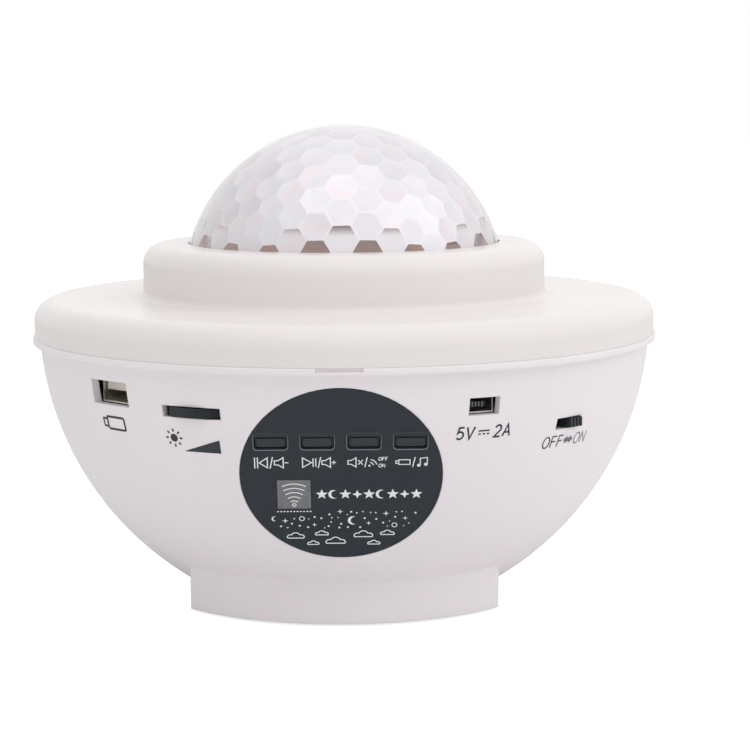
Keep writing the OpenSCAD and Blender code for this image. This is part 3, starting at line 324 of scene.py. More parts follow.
finishes = {
    "white_shell": abs_bowl(),
    "cover_white": abs_cover(),
    "clear_dome": dome_clear,
    "taupe_deck": abs_deck(),
    "slate_panel": film,
    "smoked_window": smoked_window(),
    "black_plastic": black_moulding("abs_moulded_black", 0.45),
    "black_key": black_moulding("abs_keycap_black", 0.3),
    "green_board": solder_mask("laminate_green_mask", "1B4A2C", "22583A"),
    "white_board": solder_mask("laminate_white_mask", "E2E3E0", "EBECE9"),
    "brown_laminate": plain_moulding("phenolic_paper_board", "7A4E2C", "8C5E38", 0.5, 2),
    "nickel_sheet": rolled_metal("nickel_plated_sheet", "C9C4BC", "E2DED7", 0.22),
    "port_plastic": plain_moulding("liquid_crystal_polymer_black", "1B1C1E", "232427", 0.5),
    "capacitor_can": plain_moulding("shrink_sleeve_navy", "1A2338", "222D45", 0.35),
    "zinc_steel": rolled_metal("zinc_plated_steel", "B8BABF", "D2D4D8", 0.3),
    "lamp_phosphor": plain_moulding("silicone_phosphor", "E0C24E", "EBD46E", 0.3, 1),
    "raw_aluminium": rolled_metal("extruded_aluminium", "BFC1C3", "D5D6D8", 0.35),
    "mirror_plastic": rolled_metal("metallised_abs", "DEDFE0", "F0F0F1", 0.12, 2.0),
    "clear_plate": clear_plastic("acrylic_rippled", 0.05, 3.0, 350),
    "brass_barrel": rolled_metal("turned_brass", "B48A3C", "CFA858", 0.28),
    "motor_steel": rolled_metal("drawn_steel_can", "6F7173", "898B8D", 0.35),
    "nylon_gear": plain_moulding("nylon_natural", "E3DCC8", "EDE7D6", 0.45),
    "grey_rubber": porous("rubber_pad_grey", "3E3F41", "4A4B4D", 0.6, 20),
    "black_paper": porous("pulp_paper_black", "161617", "202021", 0.4, 30),
    "lead_red": plain_moulding("pvc_sleeve_red", "8E1F1B", "A62A24", 0.4, 3),
    "ribbon_grey": plain_moulding("pvc_ribbon_grey", "8F9092", "A3A4A6", 0.45, 2),
    "grey_foam": porous("foam_closed_cell", "3A3A3C", "4C4C4E", 0.5, 60, 0.9),
}
own_finishes = {
    "deck_lens": hazed_plastic("acrylic_frosted_lens", "D6B9A2", "DEC3AE", 0.3, 0.0, 10),
    "usb_socket_shell": nickel_bright,
    "power_socket_shell": nickel_bright,
}
slot_of = {s["node"]: s["material_slot"] for s in frame["record"]["subparts"]}
for part_name, part in parts.items():
    while not part.material_slots:
        part.data.materials.append(None)
    for held in part.material_slots:
        held.material = own_finishes.get(part_name) or finishes[slot_of[part_name]]


# ------------------------------------------------------------------ making and placing pieces

def piece(name, mesh, material, body="case"):
    """Links a finished bmesh, given in millimetres, as a piece that rides on a CAD body."""
    data = bpy.data.meshes.new(name)
    bmesh.ops.scale(mesh, vec=(MM, MM, MM), verts=mesh.verts)
    mesh.to_mesh(data)
    mesh.free()
    data.materials.append(material)
    made = bpy.data.objects.new(name, data)
    bpy.context.scene.collection.objects.link(made)
    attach(made, body)
    return made


def on_bowl(azimuth, height):
    """Turns a mark's own (across, up) millimetres into a place on the bowl about that azimuth and height."""
    lat = math.asin((height - BOWL_Z) / BOWL_R)

    def place(u, v):
        a = math.radians(azimuth) + u / (BOWL_R * math.cos(lat))
        t = lat + v / BOWL_R
        r = BOWL_R + INK
        return Vector((r * math.cos(t) * math.sin(a),
                       -r * math.cos(t) * math.cos(a),
                       BOWL_Z + r * math.sin(t)))
    return place


def on_panel(u, v, lift=INK):
    """The place on the panel's face, or lift off it, at u across and v up from its middle."""
    out = Vector((0, -math.cos(PANEL_TILT), -math.sin(PANEL_TILT)))
    up = Vector((0, -math.sin(PANEL_TILT), math.cos(PANEL_TILT)))
    return Vector((0, 0, BOWL_Z)) + Vector((u, 0, 0)) + up * v + out * (PANEL_D + lift)


def line(points, width, closed=False):
    """A stroke of ink along points, mitred at its corners, as a list of faces."""
    bluntest = 0.4       # a mitre longer than half the width over this is cut off
    pts = [Vector(p) for p in points]
    n = len(pts)
    sides = []
    for i, p in enumerate(pts):
        before = pts[i - 1] if closed or i else None
        after = pts[(i + 1) % n] if closed or i < n - 1 else None
        come = (p - before).normalized() if before is not None else None
        go = (after - p).normalized() if after is not None else None
        come, go = come or go, go or come
        square, other = Vector((-come.y, come.x)), Vector((-go.y, go.x))
        mitre = square + other
        mitre = mitre.normalized() if mitre.length > 1e-6 else square
        reach = width / 2 / max(bluntest, mitre.dot(square))
        sides.append((p + mitre * reach, p - mitre * reach))
    count = n if closed else n - 1
    return [[sides[i][0], sides[i][1], sides[(i + 1) % n][1], sides[(i + 1) % n][0]] for i in range(count)]


def bow(x, y, rx, ry, start, end, steps):
    """Points of an elliptic arc, angles in degrees from +u towards +v."""
    turns = [math.radians(start + (end - start) * i / steps) for i in range(steps + 1)]
    return [(x + rx * math.cos(a), y + ry * math.sin(a)) for a in turns]


def dot(x, y, r, sides=14):
    """A filled round spot."""
    return [[Vector(p) for p in bow(x, y, r, r, 0, 360 * (1 - 1 / sides), sides - 1)]]


def moved(faces, dx, dy, size=1.0, slant=0.0):
    """Faces of ink made larger, leant over and then moved."""
    return [[Vector((dx + size * (p[0] + slant * p[1]), dy + size * p[1])) for p in f] for f in faces]


MOST_CUTS = 4        # how often the edges of a mark may be halved


def printed(name, faces, place, material, finest=0.8):
    """Ink on a curved or flat face: edges longer than finest are cut, and each corner is set on the face."""
    mesh = bmesh.new()
    for f in faces:
        mesh.faces.new([mesh.verts.new((p[0], p[1], 0)) for p in f])
    bmesh.ops.triangulate(mesh, faces=mesh.faces)
    for _ in range(MOST_CUTS):
        long = [e for e in mesh.edges if e.calc_length() > finest]
        if not long:
            break
        bmesh.ops.subdivide_edges(mesh, edges=long, cuts=1)
        bmesh.ops.triangulate(mesh, faces=mesh.faces)
    for v in mesh.verts:
        v.co = place(v.co.x, v.co.y)
    return piece(name, mesh, material)


# Plain drawn letters, one unit high: their strokes, whether a stroke closes, and their width
LETTERS = {
    "O": ([bow(0.36, 0.5, 0.36, 0.5, 0, 345, 22)], True, 0.72),
    "F": ([[(0, 0), (0, 1), (0.52, 1)], [(0, 0.52), (0.44, 0.52)]], False, 0.56),
    "N": ([[(0, 0), (0, 1), (0.6, 0), (0.6, 1)]], False, 0.6),
    "V": ([[(0, 1), (0.33, 0), (0.66, 1)]], False, 0.66),
    "A": ([[(0, 0), (0.33, 1), (0.66, 0)], [(0.13, 0.33), (0.53, 0.33)]], False, 0.66),
    "5": ([[(0.52, 1), (0.12, 1), (0.06, 0.55)] + bow(0.27, 0.33, 0.28, 0.31, 125, -145, 14)], False, 0.56),
    "2": ([bow(0.28, 0.7, 0.26, 0.29, 165, -25, 10) + [(0.02, 0), (0.56, 0)]], False, 0.56),
}
LETTER_GAP = 0.24
LETTER_SLANT = 0.12


def lettered(word, height, weight):
    """A word in drawn letters that lean a little, with its width."""
    faces, x = [], 0.0
    for letter in word:
        strokes, closed, wide = LETTERS[letter]
        for stroke in strokes:
            faces += moved(line(stroke, weight / height, closed), x, 0)
        x += wide + LETTER_GAP
    return moved(faces, 0, 0, height, LETTER_SLANT), (x - LETTER_GAP) * height


# ------------------------------------------------------------------ dome

NET_STEPS = 12                                # steps of the net along an edge of the icosahedron
NET_FLOOR = -0.35                             # the net is kept down to here, a little below the middle
CLEAR_BELOW = math.sin(math.radians(17.5))    # facets whose middle is lower than this are polished
GRADED_BELOW = math.sin(math.radians(22.8))   # and those below this are polished along their upper edge
DIM_SHARE = 0.35                              # of the other facets, this share is a little dimmer
RIB_REACH = 0.24                              # how far a rib's rounding reaches into a facet
CLEAR, GRADED, HAZED, RIB, DIM = range(5)     # the dome's material slots
DOME_TURNS, DOME_ROWS = 160, 56               # steps of its smooth outside, round and down
SAME_CORNER = 0.05                            # corners of a facet closer than this are one


def facet_centres():
    """Unit vectors to the facets' middles: every third point of a triangular net on an icosahedron."""
    lat = math.atan(0.5)

    def on(t, deg):
        a = math.radians(deg)
        return Vector((math.cos(t) * math.sin(a), -math.cos(t) * math.cos(a), math.sin(t)))
    top = Vector((0, 0, 1))
    upper = [on(lat, 36 + 72 * k) for k in range(6)]
    lower = [on(-lat, 72 * k) for k in range(6)]
    found = {}
    for k in range(5):
        for a, b, c in ((top, upper[k], upper[k + 1]), (upper[k], upper[k + 1], lower[k + 1]),
                        (lower[k], lower[k + 1], upper[k])):
            for i in range(NET_STEPS + 1):
                for j in range(NET_STEPS + 1 - i):
                    if (i - j) % 3 == 0:
                        p = (i * a + j * b + (NET_STEPS - i - j) * c).normalized()
                        found[tuple(round(x, 4) for x in p)] = p
    return list(found.values())


def flat_facets():
    """The dome's inside as flat facets about its centre. A facet's corner is where three planes meet, each
    square to the way to a facet's middle and DOME_IN from the centre."""
    net = bmesh.new()
    for middle in facet_centres():
        if middle.z > NET_FLOOR:
            net.verts.new(middle)
    bmesh.ops.convex_hull(net, input=list(net.verts))
    bmesh.ops.triangulate(net, faces=net.faces)
    mesh = bmesh.new()
    corners = {}
    for f in net.faces:
        ways = np.array([list(v.co) for v in f.verts])
        meets = abs(np.linalg.det(ways)) > 1e-4
        faces_out = f.normal.dot(f.calc_center_median()) > 0.5
        if meets and faces_out:
            corners[f] = mesh.verts.new(np.linalg.solve(ways, np.full(3, DOME_IN)))
    for v in net.verts:
        around = [f for f in v.link_faces if f in corners]
        if v.co.z < 0.05 or len(around) < 5:    # in the lower half, or at the net's edge
            continue
        side = v.co.orthogonal().normalized()
        other = v.co.cross(side)
        ring = sorted(around, key=lambda f: math.atan2(corners[f].co.dot(other), corners[f].co.dot(side)))
        loop = []
        for f in ring:
            if not loop or (corners[f].co - corners[loop[-1]].co).length > SAME_CORNER:
                loop.append(f)
        mesh.faces.new([corners[f] for f in loop])
    net.free()
    bmesh.ops.remove_doubles(mesh, verts=mesh.verts, dist=0.02)
    for v in [v for v in mesh.verts if not v.link_faces]:
        mesh.verts.remove(v)
    return mesh


def facet_finish(height):
    """A facet's material slot by how high its middle is, from 0 to 1. It always takes one random draw."""
    dimmer = random.random() < DIM_SHARE
    if height < CLEAR_BELOW:
        return CLEAR
    if height < GRADED_BELOW:
        return GRADED
    return DIM if dimmer else HAZED


def faceted_dome():
    """The clear dome: a smooth sphere outside and flat six-sided facets with rounded ribs inside."""
    mesh = flat_facets()
    ribs = [e for e in mesh.edges if len(e.link_faces) == 2]
    made = bmesh.ops.bevel(mesh, geom=ribs, offset=RIB_REACH, segments=2, profile=0.5, affect="EDGES",
                           clamp_overlap=True)
    rounded = set(made["faces"])
    random.seed(7)
    for f in mesh.faces:
        f.smooth = f in rounded
        flat_finish = facet_finish(f.calc_center_median().normalized().z)
        f.material_index = RIB if f in rounded else flat_finish
    bmesh.ops.bisect_plane(mesh, geom=mesh.verts[:] + mesh.edges[:] + mesh.faces[:],
                           plane_co=(0, 0, FLANGE_LOW - DOME_Z), plane_no=(0, 0, 1), clear_inner=True)
    inner_rim = [e for e in mesh.edges if e.is_boundary]

    # The smooth outside and the flange under the collar
    low = math.asin((FLANGE_TOP - DOME_Z) / DOME_R)
    falls = [math.pi / 2 + (low - math.pi / 2) * i / DOME_ROWS for i in range(1, DOME_ROWS + 1)]
    profile = [(DOME_R * math.cos(t), DOME_R * math.sin(t)) for t in falls]
    profile += [(FLANGE_R, FLANGE_TOP - DOME_Z), (FLANGE_R, FLANGE_LOW - DOME_Z)]
    angles = [2 * math.pi * k / DOME_TURNS for k in range(DOME_TURNS)]
    rings = [[mesh.verts.new((r * math.sin(a), -r * math.cos(a), z)) for a in angles] for r, z in profile]
    top = mesh.verts.new((0, 0, DOME_R))
    for k in range(DOME_TURNS):
        m = (k + 1) % DOME_TURNS
        mesh.faces.new((top, rings[0][k], rings[0][m])).smooth = True
        for i in range(len(rings) - 1):
            f = mesh.faces.new((rings[i][k], rings[i + 1][k], rings[i + 1][m], rings[i][m]))
            f.smooth = i < DOME_ROWS - 1

    def around(ring):
        return [mesh.edges.get((ring[k], ring[(k + 1) % DOME_TURNS])) for k in range(DOME_TURNS)]
    for e in around(rings[DOME_ROWS - 1]):
        e.smooth = False
    bmesh.ops.triangle_fill(mesh, edges=inner_rim + around(rings[-1]), use_beauty=True)
    bmesh.ops.recalc_face_normals(mesh, faces=mesh.faces)
    bmesh.ops.translate(mesh, verts=mesh.verts, vec=(0, 0, DOME_Z))
    made = piece("dome_faceted", mesh, dome_clear)
    for finish in (dome_graded, dome_hazed, dome_rib, dome_dim):
        made.data.materials.append(finish)
    return made


dome = faceted_dome()
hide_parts("crystal_dome")


# ------------------------------------------------------------------ key lips and contacts

def rounded_outline(w, h, r, grow, steps=6):
    """Corners of a rounded rectangle, grown outwards by grow."""
    found = []
    for sx, sy, start in ((1, 1, 0), (-1, 1, 90), (-1, -1, 180), (1, -1, 270)):
        found += bow(sx * (w / 2 - r), sy * (h / 2 - r), r + grow, r + grow, start, start + 90, steps)
    return found


def outline_rings(mesh, w, h, r, levels, x, y):
    """Rounded outlines on the panel about x, y, one for each (grow, lift) in levels, joined by faces."""
    rings = []
    for grow, lift in levels:
        corners = rounded_outline(w, h, r, grow)
        rings.append([mesh.verts.new(on_panel(x + u, y + v, lift)) for u, v in corners])
    bands = []
    for low, high in zip(rings, rings[1:]):
        band = []
        for k in range(len(low)):
            m = (k + 1) % len(low)
            band.append(mesh.faces.new((low[k], low[m], high[m], high[k])))
            band[-1].smooth = True
        bands.append(band)
    return rings, bands


LIP_LEVELS = [(0.78, 0.0), (0.7, 0.1), (0.58, 0.16), (0.46, 0.14), (0.34, 0.04), (0.2, -0.18), (0.08, -0.48),
              (0.03, -0.64)]
LIP_CREST_PAINTED_HIGHLIGHT = (3, 4)   # the bands where the lip turns into the well, coloured lighter as a painted highlight


def key_lip(name, x, y):
    """A moulded lip round a key's well: a low bead on the panel that rolls down to the key's edge. It is
    polished where it turns, and there its lighter grey is a painted highlight."""
    mesh = bmesh.new()
    bands = outline_rings(mesh, KEY_W, KEY_H, KEY_CORNER, LIP_LEVELS, x, y)[1]
    # these bands take the lighter grey, a painted highlight
    for i in LIP_CREST_PAINTED_HIGHLIGHT:
        for f in bands[i]:
            f.material_index = 1
    bmesh.ops.recalc_face_normals(mesh, faces=mesh.faces)
    made = piece(name, mesh, film)
    made.data.materials.append(lip_crest_painted_highlight)
    return made


PAD_W, PAD_H = KEY_W - 0.5, 0.62 * KEY_H
PAD_MARGIN = 0.2     # between the pad and the key's lower edge
PAD_RISES = ((0.0, 0.0), (0.0, 0.28), (-0.06, 0.37), (-0.2, 0.42))


def key_pad(name, x, y, body):
    """The raised pad on a key's lower part, where the finger presses."""
    mesh = bmesh.new()
    low = y - KEY_H / 2 + PAD_MARGIN + PAD_H / 2
    levels = [(grow, rise - KEY_SUNK) for grow, rise in PAD_RISES]
    rings = outline_rings(mesh, PAD_W, PAD_H, 0.5, levels, x, low)[0]
    mesh.faces.new(rings[-1])
    bmesh.ops.recalc_face_normals(mesh, faces=mesh.faces)
    return piece(name, mesh, finishes["black_key"], body)


for i, key in enumerate(("previous", "play", "mute", "source")):
    key_lip("lip_" + key, (i - 1.5) * KEY_PITCH, KEY_ROW)
    key_pad("pad_" + key, (i - 1.5) * KEY_PITCH, KEY_ROW, key + "_key")


def tongue_of(node):
    """The middle of a socket's tongue, the ways out of the bowl and across it there, and its front end."""
    low, high = (Vector(corner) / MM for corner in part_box(node))
    middle = (low + high) / 2
    out = Vector((middle.x, middle.y, 0)).normalized()
    across = Vector((-out.y, out.x, 0))
    front = max(v.co.dot(out) for v in parts[node].data.vertices) / MM
    return middle, out, across, front


def power_contacts():
    """Five stamped contacts along the front of the power socket's tongue, as bars with chamfered ends."""
    middle, out, across, front = tongue_of("power_socket_insulator")
    count, pitch, size = 5, 0.86, (0.34, 0.12, 1.4)
    mesh = bmesh.new()
    for k in range(count):
        at = across * ((k - (count - 1) / 2) * pitch) + out * (front + size[1] / 2)
        for v in bmesh.ops.create_cube(mesh, size=1.0)["verts"]:
            x, y, z = (v.co[i] * size[i] for i in range(3))
            v.co = at + across * x + out * y + Vector((0, 0, z))
            v.co.z += middle.z
    bmesh.ops.bevel(mesh, geom=mesh.edges[:], offset=0.06, segments=1, affect="EDGES")
    return piece("power_contacts", mesh, tinned)


def usb_tongue():
    """The ivory moulding over the tongue of the memory stick's socket, a hair larger than the tongue."""
    middle, out, across, front = tongue_of("usb_socket_insulator")
    size = Vector((11.2, 8.0, 2.0))
    proud, above = 0.05, 1.15
    mesh = bmesh.new()
    for v in bmesh.ops.create_cube(mesh, size=1.0)["verts"]:
        reach = front + proud + (v.co.y - 0.5) * size.y
        v.co = across * (v.co.x * size.x) + out * reach + Vector((0, 0, middle.z + above + v.co.z * size.z))
    bmesh.ops.bevel(mesh, geom=mesh.edges[:], offset=0.15, segments=2, affect="EDGES")
    return piece("usb_tongue", mesh, ivory)


power_contacts()
usb_tongue()


# ------------------------------------------------------------------ marks on the bowl

# Each mark's place: degrees round from the front, and height
STICK_AT = (-45.2, 51.7)
SUN_AT = (-30.8, 49.9)
WEDGE_AT = (-25.35, 48.4)
SUPPLY_AT = (25.7, 51.4)
SWITCH_AT = (45.2, 46.7)
MARK_INK = 0.46      # width of a stroke in most of them

# A memory stick under its socket
stick = line(rounded_outline(6.4, 3.2, 0.5, 0.0, 3), 0.58, True)
stick = moved(stick, 0.85, 0)
stick += line([(-2.4, -1.0), (-3.9, -1.0), (-3.9, 1.0), (-2.4, 1.0)], 0.5)
printed("mark_memory_stick", stick, on_bowl(*STICK_AT), ink_dark)

# A sun and a rising wedge under the brightness wheel
sun = dot(0, 0, 1.05, 20)
for k in range(8):
    a = math.radians(45 * k)
    sun += line([(1.6 * math.cos(a), 1.6 * math.sin(a)), (2.35 * math.cos(a), 2.35 * math.sin(a))], MARK_INK)
printed("mark_sun", sun, on_bowl(*SUN_AT), ink_dark)
wedge_r = BOWL_R * math.cos(math.asin((WEDGE_AT[1] - BOWL_Z) / BOWL_R))
half_w, half_h = 0.5 * wedge_r * math.radians(7.5), 1.75
wedge = [[Vector((-half_w, -half_h)), Vector((half_w, -half_h)), Vector((half_w, half_h))]]
printed("mark_wedge", wedge, on_bowl(*WEDGE_AT), ink_dark)

# The supply's volts and amperes with the sign for direct current between them
volts, volts_w = lettered("5V", 3.0, MARK_INK)
amps, amps_w = lettered("2A", 3.0, MARK_INK)
direct_w, direct_gap, direct_ink = 3.0, 1.3, 0.36
direct = line([(0, 1.85), (direct_w, 1.85)], direct_ink)
for x in (0.0, 1.15, 2.3):
    direct += line([(x, 1.05), (x + 0.7, 1.05)], direct_ink)
whole = volts_w + direct_gap + direct_w + direct_gap + amps_w
supply = moved(volts, -whole / 2, -1.5) + moved(direct, -whole / 2 + volts_w + direct_gap, -1.5)
supply += moved(amps, whole / 2 - amps_w, -1.5)
printed("mark_supply", supply, on_bowl(*SUPPLY_AT), ink_dark)

# OFF and ON with a two-headed arrow under the slide switch
off, off_w = lettered("OFF", 2.9, 0.34)
on, on_w = lettered("ON", 2.9, 0.3)
arrow_w, arrow_gap = 3.6, 0.5
arrow = [[Vector(p) for p in ((0, 0), (1.2, 1.1), (1.2, 0.55), (2.4, 0.55), (2.4, 1.1), (arrow_w, 0),
                              (2.4, -1.1), (2.4, -0.55), (1.2, -0.55), (1.2, -1.1))]]
whole = off_w + arrow_gap + arrow_w + arrow_gap + on_w
arrow = moved(arrow, -whole / 2 + off_w + arrow_gap, 0, 1.0, LETTER_SLANT)
printed("mark_off", moved(off, -whole / 2, -1.45), on_bowl(*SWITCH_AT), ink_dark)
printed("mark_arrow", arrow, on_bowl(*SWITCH_AT), ink_grey)
printed("mark_on", moved(on, whole / 2 - on_w, -1.45), on_bowl(*SWITCH_AT), ink_grey)


# ------------------------------------------------------------------ marks on the panel

SIGN_INK = 0.28      # width of a stroke in the signs under the keys
SIGN_ROW = 3.5       # height of their row above the panel's middle
FLAT_CUTS = 3.0      # ink on the flat panel needs few cuts


def sign(points, closed=False):
    """A stroke of the signs under the keys."""
    return line(points, SIGN_INK, closed)


def bars_at(xs, low, high, lean=0.0):
    """Upright or leaning strokes, one at each of xs."""
    return [face for x in xs for face in sign([(x, low), (x + lean, high)])]


def triangle(x, y, w, h):
    """An outlined triangle whose point is w across from its flat side."""
    return sign([(x, y - h / 2), (x, y + h / 2), (x + w, y)], True)


def loudspeaker(x, y, h):
    """An outlined loudspeaker: a small box with a cone that opens to the right."""
    box_w, cone_w = 0.28 * h, 0.72 * h
    return sign([(x, y - 0.2 * h), (x, y + 0.2 * h), (x + box_w, y + 0.2 * h), (x + cone_w, y + 0.5 * h),
                 (x + cone_w, y - 0.5 * h), (x + box_w, y - 0.2 * h)], True)


small_off = moved(lettered("OFF", 1.05, 0.2)[0], 3.9, 0.55)
small_on = moved(lettered("ON", 1.05, 0.2)[0], 3.9, -1.6)
key_signs = {
    "previous": bars_at((-3.7, -3.0), -1.6, 1.6) + triangle(-0.6, 0, -2.0, 2.9)
    + bars_at((0.0,), -1.7, 1.7, 0.7) + loudspeaker(1.1, 0, 3.0) + sign([(3.6, 0), (4.5, 0)]),
    "play": triangle(-4.1, 0, 2.3, 2.9) + bars_at((-1.4, -0.7), -1.3, 1.3)
    + bars_at((-0.1,), -1.7, 1.7, 0.7) + loudspeaker(0.9, 0, 3.0) + sign([(3.4, 0), (4.5, 0)])
    + bars_at((3.95,), -0.55, 0.55),
    "mute": loudspeaker(-4.3, 0, 3.0) + sign([(-1.6, -0.75), (-0.3, 0.75)])
    + sign([(-1.6, 0.75), (-0.3, -0.75)]) + bars_at((0.2,), -1.6, 1.6, 0.7)
    + dot(1.45, -1.1, 0.3) + sign(bow(1.45, -1.1, 1.1, 1.1, 10, 80, 8))
    + sign(bow(1.45, -1.1, 2.0, 2.0, 10, 80, 10)) + small_off + small_on,
    "source": sign([(-3.6, -0.75), (-3.6, 0.75), (-0.6, 0.75), (-0.6, -0.75)], True)
    + sign([(-3.6, -0.4), (-4.4, -0.4), (-4.4, 0.4), (-3.6, 0.4)]) + bars_at((0.1,), -1.6, 1.6, 0.7)
    + dot(1.75, -1.05, 0.5) + dot(3.65, -0.75, 0.5)
    + sign([(2.15, -1.05), (2.15, 1.15), (4.05, 1.45), (4.05, -0.75)]),
}
sign_fits = (("previous", -0.3, 0.97), ("play", 0.2, 0.92), ("mute", -0.05, 0.88), ("source", 0.35, 0.88))
for i, (key, shift, size) in enumerate(sign_fits):
    under_key = moved(key_signs[key], (i - 1.5) * KEY_PITCH + shift, SIGN_ROW, size)
    printed("sign_" + key, under_key, on_panel, ink_white, FLAT_CUTS)

# A short row of bars under the receiver's window
bars = []
for k in range(11):
    bars += line([(-15.5 + 0.78 * k, -10.5), (-15.05 + 0.78 * k, -10.5)], 0.3)
printed("sign_bars", bars, on_panel, ink_white, FLAT_CUTS)

# Signal arcs on the receiver's window
arcs = line(bow(0, -3.0, 0.42, 0.42, 0, 330, 12), 0.22, True)
for k, r in enumerate((1.35, 2.5, 3.7, 4.9, 6.1)):
    spread = 40 - 3.0 * k
    arcs += line(bow(0, -3.2, r, r * 1.02, 90 - spread, 90 + spread, 14), 0.26)
printed("sign_receiver", moved(arcs, -11.3, -5.6), on_panel, ink_white, FLAT_CUTS)


def star(x, y, r, points=5, waist=0.42):
    """A filled star, as a fan of its arms."""
    rim = []
    for k in range(2 * points):
        reach = r if k % 2 == 0 else r * waist
        a = math.radians(90 + 180 * k / points)
        rim.append(Vector((x + reach * math.cos(a), y + reach * math.sin(a))))
    return [[Vector((x, y)), rim[k], rim[(k + 1) % (2 * points)]] for k in range(2 * points)]


def crescent(x, y, r):
    """A crescent moon between two arcs."""
    steps = 18
    outer = bow(x, y, r, r, 60, 300, steps)
    inner = bow(x + 0.42 * r, y, 0.86 * r, 0.86 * r, 68, 292, steps)
    return [[Vector(p) for p in (outer[i], outer[i + 1], inner[i + 1], inner[i])] for i in range(steps)]


def cloud(x, y, size):
    """An outlined cloud: three bumps on a level base."""
    rim = bow(x - 1.15 * size, y + 0.35 * size, 0.8 * size, 0.6 * size, 215, 75, 8)
    rim += bow(x, y + 0.7 * size, 0.95 * size, 0.8 * size, 150, 30, 8)
    rim += bow(x + 1.15 * size, y + 0.35 * size, 0.8 * size, 0.6 * size, 105, -35, 8)
    return line(rim, 0.26, True)


# A plain row of stars and moons beside the window
row = []
row_y = -5.6
for k in range(9):
    x = -4.7 + 2.82 * k
    large, small = star(x, row_y, 1.5), star(x, row_y, 1.2, 4, 0.4)
    row += (large, crescent(x, row_y, 1.25), large, small)[k % 4]
printed("sign_row", row, on_panel, ink_white, FLAT_CUTS)

# A band of sky over clouds along the panel's lower edge
small_stars = ((-13.6, -13.2, 0.8), (-6.6, -14.4, 0.65), (-0.4, -10.6, 0.75), (6.4, -14.0, 0.65),
               (10.6, -11.2, 0.8), (15.2, -12.6, 0.65))
moons = ((2.6, -13.2, 1.2), (-16.2, -12.6, 0.7))
planets = ((-9.6, -12.6, 0.6), (12.6, -14.6, 0.6))
clouds = ((-11.2, -18.3, 1.05), (-4.9, -17.4, 0.8), (-1.6, -19.9, 1.2), (5.1, -18.0, 1.15),
          (10.9, -17.4, 0.85), (7.6, -20.2, 0.75), (-7.0, -20.2, 0.7))
sky = []
for x, y, r in small_stars:
    sky += star(x, y, r, 4, 0.26)
for x, y, r in moons:
    sky += crescent(x, y, r)
for x, y, r in planets:
    sky += line(bow(x, y, r, r, 0, 330, 12), 0.2, True)

# Dots between them: clear of the rest, of the panel's rim and of the bars under the window
MOST_DOTS, TRIES, DOT_GAP, SKY_R = 36, 400, 0.9, 21.4
random.seed(3)
dots = ()
for _ in range(TRIES):
    x, y = random.uniform(-19.0, 19.0), random.uniform(-15.4, -10.6)
    clear = all(math.hypot(x - u, y - v) > r + DOT_GAP for u, v, r in small_stars + moons + planets + dots)
    under_window = x < -6.0 and y > -12.0
    if len(dots) < MOST_DOTS and clear and math.hypot(x, y) < SKY_R and not under_window:
        dots += ((x, y, random.choice((0.16, 0.2, 0.26))),)
for x, y, r in dots:
    sky += dot(x, y, r, 10)
for x, y, size in clouds:
    sky += cloud(x, y, size)
printed("sign_sky", sky, on_panel, ink_white, FLAT_CUTS)


# ------------------------------------------------------------------ floor, light and camera

SURROUND = 0.63      # light from all round; what is seen or mirrored of it is plain white
FLOOR_GLOW = 0.72    # lifts the floor to white where it is looked at, so that only the shadow shows
# Each lamp's place and what it points at, in metres, its size and its watts
LAMPS = (("lamp_front", (0.0, -0.6, 1.2), (0.0, -0.6, 0.0), 1.0, 4.2),
         ("lamp_back", (0.0, 0.9, 1.1), (0.0, 0.0, 0.07), 1.2, 2.4),
         ("lamp_right", (1.2, -0.3, 1.0), (0.0, 0.0, 0.07), 0.9, 4.4))


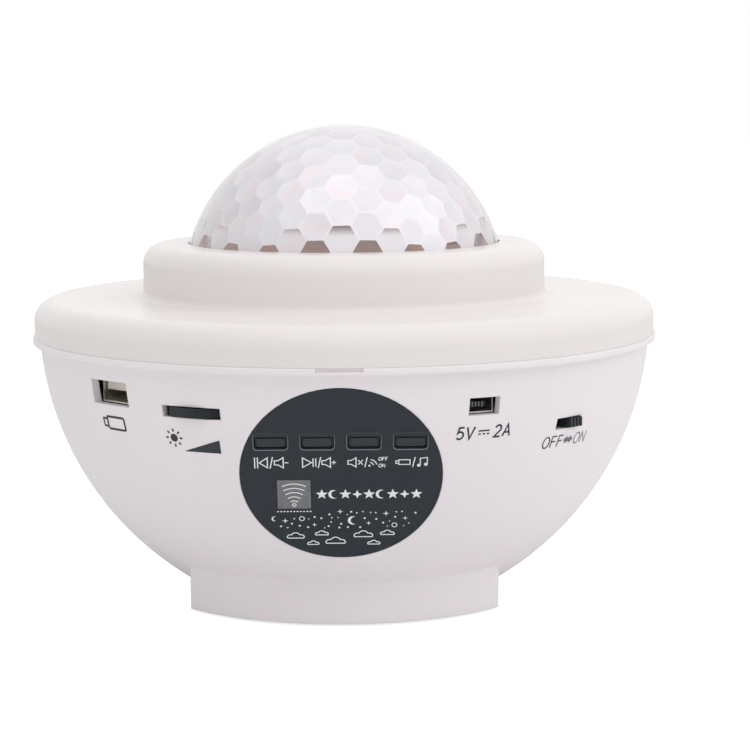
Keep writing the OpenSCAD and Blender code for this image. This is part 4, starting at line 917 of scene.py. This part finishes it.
def studio():
    """A white floor that keeps a soft shadow, an even white surround and three soft lamps."""
    world = bpy.data.worlds.new("studio_surround")
    bpy.context.scene.world = world
    world.use_nodes = True
    tree = world.node_tree
    tree.nodes.clear()
    path = add(tree, "LightPath")
    seen = add(tree, "Math", {"operation": "MAXIMUM"},
               {0: path.outputs["Is Camera Ray"], 1: path.outputs["Is Glossy Ray"]})
    seen = add(tree, "Math", {"operation": "MAXIMUM"},
               {0: seen.outputs[0], 1: path.outputs["Is Transmission Ray"]})
    around = add(tree, "Background", {"Color": srgb("FFFFFF"), "Strength": SURROUND})
    white = add(tree, "Background", {"Color": srgb("FFFFFF"), "Strength": 1.0})
    both = add(tree, "MixShader", None, {0: seen.outputs[0], 1: around.outputs[0], 2: white.outputs[0]})
    add(tree, "OutputWorld", None, {"Surface": both.outputs[0]})

    floor_mesh = bmesh.new()
    bmesh.ops.create_grid(floor_mesh, x_segments=8, y_segments=8, size=4.0)
    data = bpy.data.meshes.new("floor")
    floor_mesh.to_mesh(data)
    floor_mesh.free()
    floor = bpy.data.objects.new("floor", data)
    bpy.context.scene.collection.objects.link(floor)
    paper, tree, shader = begin("paper_sweep_white", Base_Color=srgb("F4F4F4"), Roughness=0.9)
    path = add(tree, "LightPath")
    glow = add(tree, "Emission", {"Color": srgb("FFFFFF"), "Strength": FLOOR_GLOW})
    lit = add(tree, "AddShader", None, {0: shader.outputs[0], 1: glow.outputs[0]})
    either = add(tree, "MixShader", None,
                 {0: path.outputs["Is Camera Ray"], 1: shader.outputs[0], 2: lit.outputs[0]})
    tree.links.new(either.outputs[0], tree.nodes["Material Output"].inputs["Surface"])
    data.materials.append(paper)

    for name, place, aim, size, watts in LAMPS:
        lamp = bpy.data.lights.new(name, "AREA")
        lamp.size, lamp.energy = size, watts
        held = bpy.data.objects.new(name, lamp)
        bpy.context.scene.collection.objects.link(held)
        held.visible_glossy = False
        held.location = place
        held.rotation_mode = "QUATERNION"
        held.rotation_quaternion = (Vector(aim) - Vector(place)).to_track_quat("-Z", "Y")


def camera():
    """A long lens in front, a little above the object and looking slightly down on it."""
    place = Vector((9.4, -579.9, 133.2)) * MM
    heading, pitch, roll = math.radians(0.137), math.radians(90 - 7.606), math.radians(-0.38)
    lens = bpy.data.cameras.new("camera")
    lens.lens, lens.sensor_width = 104.7, 36.0
    lens.clip_start, lens.clip_end = 0.05, 20.0
    held = bpy.data.objects.new("camera", lens)
    bpy.context.scene.collection.objects.link(held)
    held.matrix_world = (Matrix.Translation(place) @ Matrix.Rotation(heading, 4, "Z")
                         @ Matrix.Rotation(pitch, 4, "X") @ Matrix.Rotation(roll, 4, "Z"))
    bpy.context.scene.camera = held


studio()
camera()
bpy.context.scene.view_settings.view_transform = "Standard"
